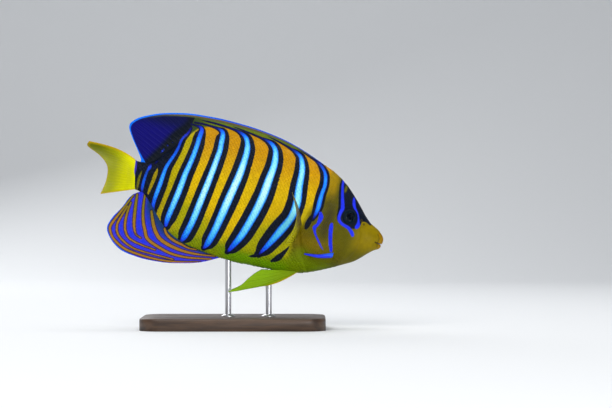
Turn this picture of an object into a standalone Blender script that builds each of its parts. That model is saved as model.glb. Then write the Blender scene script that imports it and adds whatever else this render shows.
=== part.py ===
"""Regal angelfish, life size, held nose down over a plain base by two rods.

Lengths are in metres. The fish is modelled level, in a frame of its own: x runs forward from the root of
the tail fin, y to its left and z up. An empty then tips its nose down and lifts it over the base.
"""

import math
from bisect import bisect_right

import bmesh
import bpy
from mathutils import Vector

MM = 0.001
GAP = 0.3 * MM  # kept between pieces that touch

# Pose
NOSE_DOWN = math.radians(14.6)
TAIL_HEIGHT = 99 * MM  # root of the tail fin above the floor
SWAY = 5 * MM  # how far the root of the tail fin stands to the fish's left
SWAY_START = 70 * MM  # the body is straight in front of this

# Body, from the root of the tail fin to the snout. Each row is a place along the body and a size there.
BODY_END = -0.8 * MM
TAIL_ROOT_SLANT = -0.216  # the root of the tail fin leans back at the top
SLANT_FADES_AT = 12 * MM
SNOUT_START = 156 * MM
BACK = (
    (-2, 10.4), (4, 10.9), (10, 14.5), (16, 21.5), (22, 28.5), (30, 35.4), (42, 40.3), (60, 43),
    (80, 43.5), (100, 41.6), (112, 39.3), (120, 37.8), (130, 33), (139, 26.1), (146, 19.3), (152, 12.8),
    (156, 9.3),
)
BELLY = (
    (-2, -8), (3, -8.7), (8, -10.2), (15, -16), (22, -23.4), (30, -29.5), (40, -33.6), (54, -36),
    (70, -37.4), (95, -36.4), (108, -35.6), (118, -34), (126, -31.2), (136, -26.4), (146, -20.8),
    (152, -17.1), (156, -13.4),
)
HALF_WIDTH = (
    (-2, 2.6), (6, 3.9), (20, 6.2), (40, 9.2), (60, 12), (80, 14.3), (100, 16), (114, 16.5), (126, 15.8),
    (138, 13.2), (148, 9.9), (156, 7.2),
)
WIDEST_LEVEL = ((-2, 1), (60, 2), (100, -3), (126, -4), (146, -2.4), (156, -2.2))
RIDGE = 1.1 * MM  # half the flat edge that the dorsal and the anal fin stand on
BACK_RIDGE_SPAN = (5, 12, 112, 124)
BELLY_RIDGE_SPAN = (4, 10, 60, 74)
BACK_KEEL = ((0, 1.0), (20, 1.3), (90, 1.35), (120, 1.15), (140, 0.95))
BELLY_KEEL = ((0, 1.0), (20, 1.3), (60, 1.3), (80, 0.95), (140, 0.9))

# Snout rings: how far round the snout, then top x and z, side x, y and z, and bottom x and z.
SNOUT = (
    (0, 156, 9.3, 156, 7.4, -2.2, 156, -13.4),
    (1, 159, 7.9, 158.6, 6.7, -2.2, 159.2, -10.1),
    (2, 162, 6.3, 160.3, 6.0, -2.2, 161.7, -7.8),
    (3, 164, 4.7, 161, 5.5, -2.1, 163.4, -6.6),
    (4, 165.4, 3.3, 161.4, 5.4, -2, 164.9, -5.7),
    (5, 166.6, 1.2, 161.6, 4.9, -1.9, 166, -4.3),
    (6, 166.5, -1.6, 161.3, 4.4, -1.8, 165.9, -2.95),
    (7, 165.4, -2.24, 160.7, 3.9, -1.8, 165, -2.4),
    (8, 162.6, -2.26, 159, 3, -1.8, 162.2, -2.43),
    (9, 160.4, -2.26, 157.8, 1.8, -1.8, 160, -2.43),
)
SNOUT_STEPS = 2  # rings for each row above

# Head
GILL_CENTRE = (132 * MM, -4 * MM)
GILL_RADIUS = 19.5 * MM
GILL_RELIEF = 0.9 * MM
CHEEK_PLATE = ((-17, 136.2), (-9, 133.4), (-3, 131.8), (4, 130.6), (12, 131.6))
CHEEK_RELIEF = 0.6 * MM
CHEEK_SPINE_ROOT = (137.2, -16.6)
CHEEK_SPINE_MIDDLE = (128.5, -19.6)
CHEEK_SPINE_TIP = (118.8, -20.6)
CHEEK_SPINE_RADIUS = 1.9 * MM
EYE = (141.3 * MM, 9.9 * MM)
EYE_RADIUS = 4.9 * MM
EYE_DEPTH = 3.4 * MM
EYE_PROUD = 1.2 * MM
ORBIT_RELIEF = 0.45 * MM
NOSTRILS = ((149.6, 9.6, 0.6), (151.6, 7.6, 0.5))
GILL_CUT = ((-50, 134), (-36, 127), (-29, 122), (-21, 116.6), (-12, 113.2), (-4, 112.3), (6, 113.6),
            (15, 116.8), (28, 120.6), (38, 123.4), (50, 127))
STALK_CUT = ((-60, 16), (60, 16))

# Fins. Each row is where a ray starts along the body and where it ends, x and z.
DORSAL = (
    (3, 0.8, 12.2), (7, -3.8, 17.4), (10.5, -9.5, 24.5), (14.5, -13.2, 31), (19.5, -10, 36.8), (26, 2, 43.3),
    (34, 18, 48), (46, 37, 50.4), (62, 55.5, 50.9), (80, 74, 49.9), (98, 92.5, 46.9), (112, 108, 42.2),
    (121.5, 120.5, 38.3),
)
ANAL = (
    (3.6, 1.4, -10.4), (5.5, -1.2, -14), (8.5, -4.3, -21.5), (12.5, -8.8, -29.5), (16.5, -10.6, -36.5),
    (21, -7, -42.8), (26, 1, -48.4), (32, 13, -50.4), (40, 28, -49.9), (50, 43, -47), (60, 57, -42.3),
    (66, 65.2, -38.9),
)
DORSAL_SPINES = 14
DORSAL_SOFT_RAYS = 18
DORSAL_SPINE_SPAN = (119.5, 41)
DORSAL_SOFT_SPAN = (37.5, 5.6)
ANAL_SPINES = 3
ANAL_SOFT_RAYS = 18
ANAL_SPINE_SPAN = (65, 56)
ANAL_SOFT_SPAN = (52, 4.6)
SPINE_HALF = 0.62 * MM
RAY_HALF = 0.5 * MM
WEB_HALF = 0.28 * MM
MARGIN_HALF = 0.26 * MM
FIN_ROWS = 6

# Tail fin: down its root from top to bottom, the end of the ray, x, y and z, y being its swing to the left.
CAUDAL = (
    (0, -37.4, 11, 15.1), (0.1, -38.2, 13, 12.4), (0.3, -28.4, 17, 7.6), (0.5, -22.6, 21, 2.4),
    (0.75, -20.8, 22, -6.8), (1, -21.9, 19, -17),
)
CAUDAL_RAYS = 17
CAUDAL_BOW = 2.6 * MM  # how far its upper edge is arched
CAUDAL_SWING_POWER = 1.6

# Paired fins, the right one: a ray's start, x and z, and its end, x, distance out from the flank, and z.
PECTORAL = (
    (0, 111.8, -4.2, 101.4, 29, 16), (0.25, 111.4, -7, 105.6, 33, 8.4), (0.5, 110.9, -9.8, 108.4, 33.5, 0.4),
    (0.75, 110.2, -12.6, 108, 29, -8.2), (1, 109.4, -15.4, 105.6, 17.5, -17),
)
PECTORAL_RAYS = 16
PECTORAL_ROOT_HALF = 1.1 * MM
# The pelvic fin hangs from the belly: a ray's start, x and y, and its end, x, y and z.
PELVIC = (
    (0, 118.6, -4.0, 96, -6.5, -48.6), (0.2, 117.2, -4.2, 77.8, -9.5, -57), (0.4, 115.8, -4.4, 84, -8.5, -51.2),
    (0.6, 114.4, -4.6, 87.5, -8, -45.8), (0.8, 112.9, -4.7, 91, -7, -41.2), (1, 111.4, -4.8, 94.5, -6, -37.8),
)
PELVIC_RAYS = 6
PELVIC_ROOT_HALF = 0.8 * MM
PELVIC_BOW = 2.4 * MM

# Stand
BASE_LENGTH = 120 * MM
BASE_WIDTH = 72 * MM
BASE_THICKNESS = 8 * MM
BASE_CORNER = 14 * MM
BASE_EDGE = 1.2 * MM
ROD_RADIUS = 2 * MM
ROD_PLACES = {"stand_rod_rear": 72 * MM, "stand_rod_front": 99 * MM}  # along the fish's belly

# Facets
STATION_STEP = 3.3 * MM
HEAD_STATION_STEP = 1.9 * MM
HEAD_STATIONS_FROM = 110 * MM
AROUND = 40

COLOURS = {
    "head": (0.55, 0.4, 0.02), "trunk": (0.8, 0.5, 0.02), "tail_stalk": (0.06, 0.07, 0.2),
    "eye": (0.01, 0.012, 0.02), "dorsal_fin": (0.05, 0.03, 0.35), "anal_fin": (0.08, 0.1, 0.85),
    "caudal_fin": (0.85, 0.75, 0.02), "pectoral_fin": (0.75, 0.65, 0.2), "pelvic_fin": (0.5, 0.6, 0.02),
    "stand": (0.03, 0.03, 0.035), "rod": (0.6, 0.6, 0.62),
}


def clear_scene():
    for obj in list(bpy.data.objects):
        bpy.data.objects.remove(obj)


def ease(t):
    t = min(1, max(0, t))
    return t * t * (3 - 2 * t)


def smooth(rows, at):
    """The values at a place on the smooth lines through the rows, held level past the first and last row."""
    places = [row[0] for row in rows]
    if at <= places[0]:
        return rows[0][1:]
    if at >= places[-1]:
        return rows[-1][1:]
    i = bisect_right(places, at) - 1
    t = (at - places[i]) / (places[i + 1] - places[i])
    found = []
    for k in range(1, len(rows[0])):
        start, end = rows[i][k], rows[i + 1][k]
        out = slope(rows, i, k) * (places[i + 1] - places[i])
        into = slope(rows, i + 1, k) * (places[i + 1] - places[i])
        found.append(
            start * (2 * t**3 - 3 * t**2 + 1) + end * (3 * t**2 - 2 * t**3)
            + out * (t**3 - 2 * t**2 + t) + into * (t**3 - t**2)
        )
    return found


def slope(rows, i, k):
    """Slope of the smooth line at row i: that of its one neighbour at an end, else between its neighbours'."""
    def chord(j):
        return (rows[j + 1][k] - rows[j][k]) / (rows[j + 1][0] - rows[j][0])
    if i == 0:
        return chord(0)
    if i == len(rows) - 1:
        return chord(i - 1)
    before, after = rows[i][0] - rows[i - 1][0], rows[i + 1][0] - rows[i][0]
    return (chord(i - 1) * after + chord(i) * before) / (before + after)


def size_at(rows, along):
    return smooth(rows, along / MM)[0] * MM


def ridge_at(span, along):
    """Half the width of the flat edge under a fin. It grows and fades over the two ends of its span."""
    first, full, fading, gone = span
    x = along / MM
    return RIDGE * ease((x - first) / (full - first)) * ease((gone - x) / (gone - fading))


def sway_at(x):
    """How far the bent tail carries a point at x to the fish's left."""
    return SWAY * (max(0, SWAY_START - x) / SWAY_START) ** 2


def relief(x, z):
    """Height of the gill cover, the cheek plate and the rim of the eye over the plain side of the head."""
    from_gill = math.hypot(x - GILL_CENTRE[0], z - GILL_CENTRE[1])
    inside = (GILL_RADIUS - from_gill) / MM
    gill = GILL_RELIEF * ease((inside + 0.6) / 1.2) * ease((16 - inside) / 14)
    plate_edge = size_at(CHEEK_PLATE, z)
    ahead = (x - plate_edge) / MM
    plate = CHEEK_RELIEF * ease((ahead + 1) / 1.4) * ease((9 - ahead) / 8) * ease((8 * MM - abs(z + 6 * MM)) / MM / 3)
    from_eye = math.hypot(x - EYE[0], z - EYE[1])
    orbit = ORBIT_RELIEF * math.exp(-(((from_eye - EYE_RADIUS - 0.6 * MM) / MM) ** 2))
    return gill + plate + orbit


def section(along, angle, grow=0):
    """A point on the body: angle 0 is the back, half a turn is the belly and the side is the sine's."""
    level = size_at(WIDEST_LEVEL, along)
    up = math.cos(angle)
    if up >= 0:
        z = level + (size_at(BACK, along) + grow - level) * up
        ridge = ridge_at(BACK_RIDGE_SPAN, along)
        keel = smooth(BACK_KEEL, along / MM)[0]
    else:
        z = level + (level - size_at(BELLY, along) + grow) * up
        ridge = ridge_at(BELLY_RIDGE_SPAN, along)
        keel = smooth(BELLY_KEEL, along / MM)[0]
    out = abs(math.sin(angle))
    x = along + TAIL_ROOT_SLANT * z * ease((SLANT_FADES_AT - along) / (SLANT_FADES_AT - BODY_END))
    half = ridge + (size_at(HALF_WIDTH, along) + grow - ridge) * out**keel + relief(x, z) * out
    side = 0 if out < 1e-6 else math.copysign(half, math.sin(angle))
    return Vector((x, side, z))


def snout_point(turn, angle, grow=0):
    """A point on the snout, from the head's last full section over the lips and into the mouth."""
    top_x, top_z, side_x, side_y, level, low_x, low_z = [v * MM for v in smooth(SNOUT, turn)]
    up = math.cos(angle)
    far_x, far_z = (top_x, top_z + grow) if up >= 0 else (low_x, low_z - grow)
    x = side_x + (far_x - side_x) * up * up
    z = level + (far_z - level) * abs(up)
    lips = ease((turn - 1) / 3)
    keel = 0.95 + (0.9 - 0.95) * lips
    side = (side_y + grow) * math.copysign(abs(math.sin(angle)) ** keel, math.sin(angle))
    return Vector((x, 0 if abs(math.sin(angle)) < 1e-6 else side, z))


def side_at(x, z):
    """Half the body's width at a place on its side, in front of the slanting root of the tail."""
    level = size_at(WIDEST_LEVEL, x)
    if z >= level:
        share, span, keels = (z - level) / (size_at(BACK, x) - level), BACK_RIDGE_SPAN, BACK_KEEL
    else:
        share, span, keels = (level - z) / (level - size_at(BELLY, x)), BELLY_RIDGE_SPAN, BELLY_KEEL
    out = math.sqrt(max(0, 1 - share * share))
    ridge = ridge_at(span, x)
    return ridge + (size_at(HALF_WIDTH, x) - ridge) * out ** smooth(keels, x / MM)[0] + relief(x, z) * out


def belly_at(x, y):
    """Height of the belly's surface at a distance y from the middle, where it has no ridge."""
    level = size_at(WIDEST_LEVEL, x)
    out = min(1, abs(y) / size_at(HALF_WIDTH, x)) ** (1 / smooth(BELLY_KEEL, x / MM)[0])
    return level - (level - size_at(BELLY, x)) * math.sqrt(1 - out * out)


def facing(x, z):
    """The direction that the right side of the body faces at a place."""
    step = 0.5 * MM
    across = (side_at(x + step, z) - side_at(x - step, z)) / (2 * step)
    upward = (side_at(x, z + step) - side_at(x, z - step)) / (2 * step)
    return Vector((-across, -1, -upward)).normalized()


def material(name, colour):
    made = bpy.data.materials.get(name) or bpy.data.materials.new(name)
    made.use_nodes = True
    shader = made.node_tree.nodes["Principled BSDF"]
    shader.inputs["Base Color"].default_value = (*colour, 1)
    shader.inputs["Roughness"].default_value = 0.25 if name == "rod" else 0.5
    shader.inputs["Metallic"].default_value = 1 if name == "rod" else 0
    return made


def object_from(bm, name, finish, where):
    """Turns a bmesh into an object of one closed, outward-facing mesh, and puts it in a collection."""
    bmesh.ops.recalc_face_normals(bm, faces=bm.faces[:])
    if bm.calc_volume(signed=True) < 0:
        bmesh.ops.reverse_faces(bm, faces=bm.faces[:])
    mesh = bpy.data.meshes.new(name)
    bm.to_mesh(mesh)
    bm.free()
    mesh.materials.append(material(finish, COLOURS[finish]))
    obj = bpy.data.objects.new(name, mesh)
    where.objects.link(obj)
    return obj


def tube(name, rings, around, place, finish, where):
    """A closed tube: a flat grid rolled up by place(ring, angle), joined along its seam and filled at both ends."""
    bm = bmesh.new()
    bmesh.ops.create_grid(bm, x_segments=rings - 1, y_segments=around, size=1)
    for vert in bm.verts:
        ring = round((vert.co.x + 1) / 2 * (rings - 1))
        turn = round((vert.co.y + 1) / 2 * around) % around
        vert.co = place(ring, 2 * math.pi * turn / around)
    bmesh.ops.remove_doubles(bm, verts=bm.verts[:], dist=0.001 * MM)
    bmesh.ops.holes_fill(bm, edges=[e for e in bm.edges if e.is_boundary], sides=0)
    bmesh.ops.triangulate(bm, faces=bm.faces[:])
    return object_from(bm, name, finish, where)


def vane(name, columns, rows, place, finish, where):
    """A thin closed fin: a flat grid given a back face, so that both split alike, then laid out by
    place(column, outward, face), where outward runs from 0 at the root to 1 and face is 1 or -1."""
    bm = bmesh.new()
    bmesh.ops.create_grid(bm, x_segments=columns - 1, y_segments=rows, size=1)
    bmesh.ops.triangulate(bm, faces=bm.faces[:])
    bmesh.ops.solidify(bm, geom=bm.faces[:], thickness=1)
    for vert in bm.verts:
        column = round((vert.co.x + 1) / 2 * (columns - 1))
        face = 1 if abs(vert.co.z) < 0.5 else -1
        vert.co = place(column, round((vert.co.y + 1) / 2 * rows) / rows, face)
    bmesh.ops.triangulate(bm, faces=bm.faces[:])
    return object_from(bm, name, finish, where)


def boolean(obj, operation, other):
    """Cuts or joins with an object or a collection, and applies it."""
    cut = obj.modifiers.new(operation.lower(), "BOOLEAN")
    cut.operation = operation
    cut.solver = "EXACT"
    if isinstance(other, bpy.types.Collection):
        cut.operand_type = "COLLECTION"
        cut.collection = other
    else:
        cut.object = other
    bpy.context.view_layer.update()
    graph = bpy.context.evaluated_depsgraph_get()
    mesh = bpy.data.meshes.new_from_object(obj.evaluated_get(graph))
    obj.modifiers.remove(cut)
    obj.data = mesh


def drop(objects):
    for obj in list(objects):
        bpy.data.objects.remove(obj)


def hide_cutter(obj):
    obj.hide_render = True
    obj.display_type = "WIRE"
    return obj


def body_rings():
    """Places of the body's sections, closer together on the head, then the turns of the snout's rings."""
    places = []
    along = BODY_END
    while along < SNOUT_START - HEAD_STATION_STEP / 2:
        places.append(along)
        along += STATION_STEP if along < HEAD_STATIONS_FROM else HEAD_STATION_STEP
    turns = [i / SNOUT_STEPS for i in range((len(SNOUT) - 1) * SNOUT_STEPS + 1)]
    return places, turns


def whole_body(name, where, grow=0):
    places, turns = body_rings()

    def place(ring, angle):
        if ring < len(places):
            point = section(places[ring], angle, grow)
        else:
            point = snout_point(turns[ring - len(places)], angle, grow)
        point.y += sway_at(point.x)
        return point

    return tube(name, len(places) + len(turns), AROUND, place, "trunk", where)


def thin_cut(name, line, where):
    """A wall as thin as the gap, standing right across the body along a line of heights and places."""
    bm = bmesh.new()
    steps = 24
    low, high = line[0][0], line[-1][0]
    bmesh.ops.create_grid(bm, x_segments=steps, y_segments=1, size=1)
    bmesh.ops.solidify(bm, geom=bm.faces[:], thickness=1)
    for vert in bm.verts:
        height = low + (high - low) * (vert.co.x + 1) / 2
        here = smooth(line, height)[0] * MM
        behind = 0 if abs(vert.co.z) < 0.5 else GAP
        vert.co = (here - behind, math.copysign(40 * MM, vert.co.y), height * MM)
    return hide_cutter(object_from(bm, name, "trunk", where))


def loose_parts(obj):
    """The separate closed surfaces of a mesh, each as a bmesh, from the tail forward."""
    whole = bmesh.new()
    whole.from_mesh(obj.data)
    whole.verts.ensure_lookup_table()
    seen, islands = set(), []
    for seed in whole.verts:
        if seed.index in seen:
            continue
        stack, island = [seed], set()
        while stack:
            vert = stack.pop()
            if vert.index in island:
                continue
            island.add(vert.index)
            stack.extend(edge.other_vert(vert) for edge in vert.link_edges)
        seen |= island
        islands.append(island)
    parts = []
    for island in sorted(islands, key=len, reverse=True)[:3]:
        part = whole.copy()
        part.verts.ensure_lookup_table()
        bmesh.ops.delete(part, geom=[v for v in part.verts if v.index not in island], context="VERTS")
        parts.append(part)
    whole.free()
    return sorted(parts, key=lambda part: sum(v.co.x for v in part.verts) / len(part.verts))


def build_body(fish, cutters):
    """Head, trunk and tail stalk, parted from one body along the gill opening and across the tail."""
    body = whole_body("body", fish)
    for name, line in (("gill_cut", GILL_CUT), ("stalk_cut", STALK_CUT)):
        cutter = thin_cut(name, line, cutters)
        boolean(body, "DIFFERENCE", cutter)
        drop([cutter])
    made = [object_from(part, name, name, fish)
            for part, name in zip(loose_parts(body), ("tail_stalk", "trunk", "head"))]
    drop([body])
    return made


def eye_ball(name, side, grow, where):
    """A flattened ball set into the side of the head, facing the way that the skin faces there."""
    normal = facing(*EYE)
    surface = Vector((EYE[0], -side_at(*EYE), EYE[1]))
    centre = surface + normal * (EYE_PROUD - EYE_DEPTH)
    turned = normal.to_track_quat("Z", "Y").to_matrix().to_4x4()
    bm = bmesh.new()
    bmesh.ops.create_uvsphere(bm, u_segments=20, v_segments=12, radius=1)
    radius = EYE_RADIUS + grow
    for vert in bm.verts:
        flat = Vector((vert.co.x * radius, vert.co.y * radius, vert.co.z * (EYE_DEPTH + grow)))
        vert.co = centre + turned @ flat
        vert.co.y *= side
    bmesh.ops.triangulate(bm, faces=bm.faces[:])
    return object_from(bm, name, "eye", where)


def nostril_pit(name, side, x, z, radius, where):
    bm = bmesh.new()
    bmesh.ops.create_uvsphere(bm, u_segments=8, v_segments=6, radius=radius * MM)
    spot = Vector((x * MM, -side * side_at(x * MM, z * MM), z * MM))
    bmesh.ops.translate(bm, verts=bm.verts[:], vec=spot)
    return object_from(bm, name, "head", where)


def cheek_spine(name, side, where):
    """The long spine at the lower corner of the cheek plate, half sunk in the cheek and free at its tip."""
    line = [(i, *point) for i, point in enumerate((CHEEK_SPINE_ROOT, CHEEK_SPINE_MIDDLE, CHEEK_SPINE_TIP))]
    rings, around = 9, 8

    def place(ring, angle):
        share = ring / (rings - 1)
        x, z = [v * MM for v in smooth(line, 2 * share)]
        radius = CHEEK_SPINE_RADIUS * (1 - 0.76 * share) * (0.75 if ring == 0 else 1)
        out = side_at(x, z) + 0.5 * MM * share
        return Vector((x, -side * (out + radius * math.cos(angle) * 0.8), z + radius * math.sin(angle)))

    return tube(name, rings, around, place, "head", where)


def build_head_details(head, fish, cutters):
    spines = bpy.data.collections.new("cheek_spines")
    bpy.context.scene.collection.children.link(spines)
    pits = bpy.data.collections.new("sockets")
    bpy.context.scene.collection.children.link(pits)
    for side, word in ((1, "right"), (-1, "left")):
        cheek_spine(f"cheek_spine_{word}", side, spines)
        hide_cutter(eye_ball(f"socket_{word}", side, GAP, pits))
        for i, (x, z, radius) in enumerate(NOSTRILS):
            hide_cutter(nostril_pit(f"nostril_{word}_{i}", side, x, z, radius, pits))
        eye_ball(f"eye_{word}", side, 0, fish)
    boolean(head, "UNION", spines)
    boolean(head, "DIFFERENCE", pits)
    for group in (spines, pits):
        drop(group.objects)
        bpy.data.collections.remove(group)


def columns_of(rays, front, rear):
    """Where a fin's columns start: its front edge, then each ray and the web behind it, and its rear edge."""
    columns = [front]
    for i, ray in enumerate(rays):
        columns.append(ray)
        columns.append((ray + rays[i + 1]) / 2 if i + 1 < len(rays) else rear)
    return columns


def spread(count, span):
    return [span[0] + (span[1] - span[0]) * i / (count - 1) for i in range(count)]


def fin_half(outward, crest, root_half, ray_half):
    """Half a fin's thickness: stout at the root, then a ridge on each ray and a thin web between them."""
    body = ray_half if crest else WEB_HALF
    body += ((MARGIN_HALF + 0.08 * MM if crest else MARGIN_HALF) - body) * outward
    return root_half + (body - root_half) * ease(outward / 0.35)


def median_fin(name, rays, spines, soft, front, rear, edge_angle, fish):
    """The dorsal or anal fin. Its root follows the flat edge of the back or belly, a gap away from it."""
    starts = spread(*spines) + spread(*soft)
    columns = columns_of(starts, front, rear)
    sign = 1 if edge_angle == 0 else -1

    def place(column, outward, face):
        along = columns[column] * MM
        step = 0.5 * MM
        root = section(along, edge_angle)
        tangent = section(along + step, edge_angle) - section(along - step, edge_angle)
        normal = Vector((-tangent.z, 0, tangent.x)).normalized() * sign
        root += normal * GAP
        tip_x, tip_z = [v * MM for v in smooth(rays, along / MM)]
        point = root.lerp(Vector((tip_x, 0, tip_z)), outward)
        crest = column % 2 == 1
        ray_half = SPINE_HALF if (column - 1) // 2 < spines[0] else RAY_HALF
        point.y = sway_at(point.x) + face * fin_half(outward, crest, RIDGE - 0.1 * MM, ray_half)
        return point

    return vane(name, len(columns), FIN_ROWS, place, name, fish)


def caudal_fin(fish):
    """The tail fin, swung to the left: its middle rays are carried furthest, so that it is cupped."""
    columns = 2 * CAUDAL_RAYS + 1
    root_top = section(BODY_END, 0)
    root_low = section(BODY_END, math.pi)

    def middle(share, outward):
        root = root_top.lerp(root_low, 0.02 + 0.96 * share)
        root.x -= GAP
        x, y, z = [v * MM for v in smooth(CAUDAL, share)]
        arch = CAUDAL_BOW * (1 - share) ** 2 * math.sin(math.pi * min(1, outward) ** 0.8)
        point = root.lerp(Vector((x, 0, z)), outward)
        swing = y * outward**CAUDAL_SWING_POWER
        return Vector((point.x, sway_at(min(0, point.x) * 0.5) + swing, point.z + arch))

    def place(column, outward, face):
        share = column / (columns - 1)
        here = middle(share, outward)
        step = 0.01
        along = middle(share, min(1, outward + step)) - middle(share, max(0, outward - step))
        across = middle(min(1, share + step), outward) - middle(max(0, share - step), outward)
        normal = along.cross(across).normalized()
        if outward == 0:
            normal = Vector((0, math.copysign(1, normal.y), 0))
        stalk = size_at(HALF_WIDTH, BODY_END) * math.sqrt(max(0.04, 1 - (1.9 * share - 0.95) ** 2)) - 0.1 * MM
        half = fin_half(outward, column % 2 == 1, max(0.5 * MM, stalk), RAY_HALF)
        return here + normal * face * half

    return vane("caudal_fin", columns, FIN_ROWS + 2, place, "caudal_fin", fish)


def pectoral_fin(side, word, fish):
    """A fan held out from the flank. Its root lies on the flank and its rays arch back towards their tips."""
    columns = 2 * PECTORAL_RAYS + 1

    def middle(share, outward):
        root_x, root_z, tip_x, out, tip_z = [v * MM for v in smooth(PECTORAL, share)]
        x = root_x + (tip_x - root_x) * outward**1.5
        z = root_z + (tip_z - root_z) * outward**0.9
        return Vector((x, -(side_at(root_x, root_z) + out * outward), z))

    def place(column, outward, face):
        share = column / (columns - 1)
        here = middle(share, outward)
        step = 0.01
        along = middle(share, outward + step) - middle(share, max(0, outward - step))
        across = middle(min(1, share + step), outward) - middle(max(0, share - step), outward)
        point = here + along.cross(across).normalized() * face * fin_half(
            outward, column % 2 == 1, PECTORAL_ROOT_HALF, RAY_HALF)
        if outward == 0:
            point.y = -(side_at(point.x, point.z) + GAP)
        point.y *= side
        return point

    return vane(f"pectoral_fin_{word}", columns, FIN_ROWS, place, "pectoral_fin", fish)


def pelvic_fin(side, word, fish):
    """A long, pointed fin hung from the breast, its first soft ray drawn out past the others."""
    columns = 2 * PELVIC_RAYS + 1

    def place(column, outward, face):
        share = column / (columns - 1)
        root_x, root_y, tip_x, tip_y, tip_z = [v * MM for v in smooth(PELVIC, share)]
        root = Vector((root_x, root_y, belly_at(root_x, root_y)))
        point = root.lerp(Vector((tip_x, tip_y, tip_z)), outward)
        point.z -= PELVIC_BOW * math.sin(math.pi * outward) * (1 - share)
        half = fin_half(outward, column % 2 == 1, PELVIC_ROOT_HALF, SPINE_HALF if column < 4 else RAY_HALF)
        point.y += face * half
        if outward == 0:
            point.z = belly_at(point.x, point.y) - GAP
        point.y *= side
        return point

    return vane(f"pelvic_fin_{word}", columns, FIN_ROWS + 2, place, "pelvic_fin", fish)


def build_fins(fish):
    median_fin("dorsal_fin", DORSAL, (DORSAL_SPINES, DORSAL_SPINE_SPAN), (DORSAL_SOFT_RAYS, DORSAL_SOFT_SPAN),
               DORSAL[-1][0], DORSAL[0][0], 0, fish)
    median_fin("anal_fin", ANAL, (ANAL_SPINES, ANAL_SPINE_SPAN), (ANAL_SOFT_RAYS, ANAL_SOFT_SPAN),
               ANAL[-1][0], ANAL[0][0], math.pi, fish)
    caudal_fin(fish)
    for side, word in ((1, "right"), (-1, "left")):
        pectoral_fin(side, word, fish)
        pelvic_fin(side, word, fish)


def pose(fish):
    """Hangs the fish's pieces on an empty that tips the nose down and centres the fish over the base."""
    holder = bpy.data.objects.new("fish_pose", None)
    bpy.context.scene.collection.objects.link(holder)
    holder.rotation_euler = (0, NOSE_DOWN, 0)
    bpy.context.view_layer.update()
    turned = holder.matrix_world
    reach = [(turned @ vert.co).x for obj in fish.objects for vert in obj.data.vertices]
    holder.location = (-(min(reach) + max(reach)) / 2, 0, TAIL_HEIGHT)
    for obj in fish.objects:
        obj.parent = holder
    bpy.context.view_layer.update()
    return holder


def build_base(stand):
    """A flat base with rounded corners and a softened edge."""
    bm = bmesh.new()
    bmesh.ops.create_cube(bm, size=1)
    bmesh.ops.scale(bm, verts=bm.verts[:], vec=(BASE_LENGTH, BASE_WIDTH, BASE_THICKNESS))
    bmesh.ops.translate(bm, verts=bm.verts[:], vec=(0, 0, BASE_THICKNESS / 2))
    upright = [e for e in bm.edges if abs(e.verts[0].co.z - e.verts[1].co.z) > BASE_THICKNESS / 2]
    bmesh.ops.bevel(bm, geom=upright, offset=BASE_CORNER, segments=6, profile=0.5, affect="EDGES", material=-1)
    top = [e for e in bm.edges if min(v.co.z for v in e.verts) > BASE_THICKNESS * 0.99]
    bmesh.ops.bevel(bm, geom=top, offset=BASE_EDGE, segments=2, profile=0.5, affect="EDGES", material=-1)
    bmesh.ops.triangulate(bm, faces=bm.faces[:])
    return object_from(bm, "stand_base", "stand", stand)


def build_rods(holder, stand, cutters):
    """Upright rods from the base to the belly, each end cut to the belly's own curve a gap below it."""
    grown = hide_cutter(whole_body("grown_body", cutters, GAP))
    grown.parent = holder
    for name, along in ROD_PLACES.items():
        foot = holder.matrix_world @ Vector((along, 0, size_at(BELLY, along)))
        bottom, top = BASE_THICKNESS + GAP, foot.z + 8 * MM
        bm = bmesh.new()
        bmesh.ops.create_cone(bm, cap_ends=True, segments=20, radius1=ROD_RADIUS, radius2=ROD_RADIUS,
                              depth=top - bottom)
        bmesh.ops.translate(bm, verts=bm.verts[:], vec=(foot.x, 0, (top + bottom) / 2))
        bmesh.ops.triangulate(bm, faces=bm.faces[:])
        boolean(object_from(bm, name, "rod", stand), "DIFFERENCE", grown)
    drop([grown])


def build():
    clear_scene()
    groups = {}
    for name in ("regal_angelfish", "stand", "cutters"):
        groups[name] = bpy.data.collections.new(name)
        bpy.context.scene.collection.children.link(groups[name])
    fish, stand, cutters = groups.values()
    head = build_body(fish, cutters)[-1]
    build_head_details(head, fish, cutters)
    build_fins(fish)
    holder = pose(fish)
    build_base(stand)
    build_rods(holder, stand, cutters)
    for obj in list(fish.objects) + list(stand.objects):
        obj.data.shade_smooth()
        obj.data.set_sharp_from_angle(angle=math.radians(40))


build()
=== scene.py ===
import math

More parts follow.
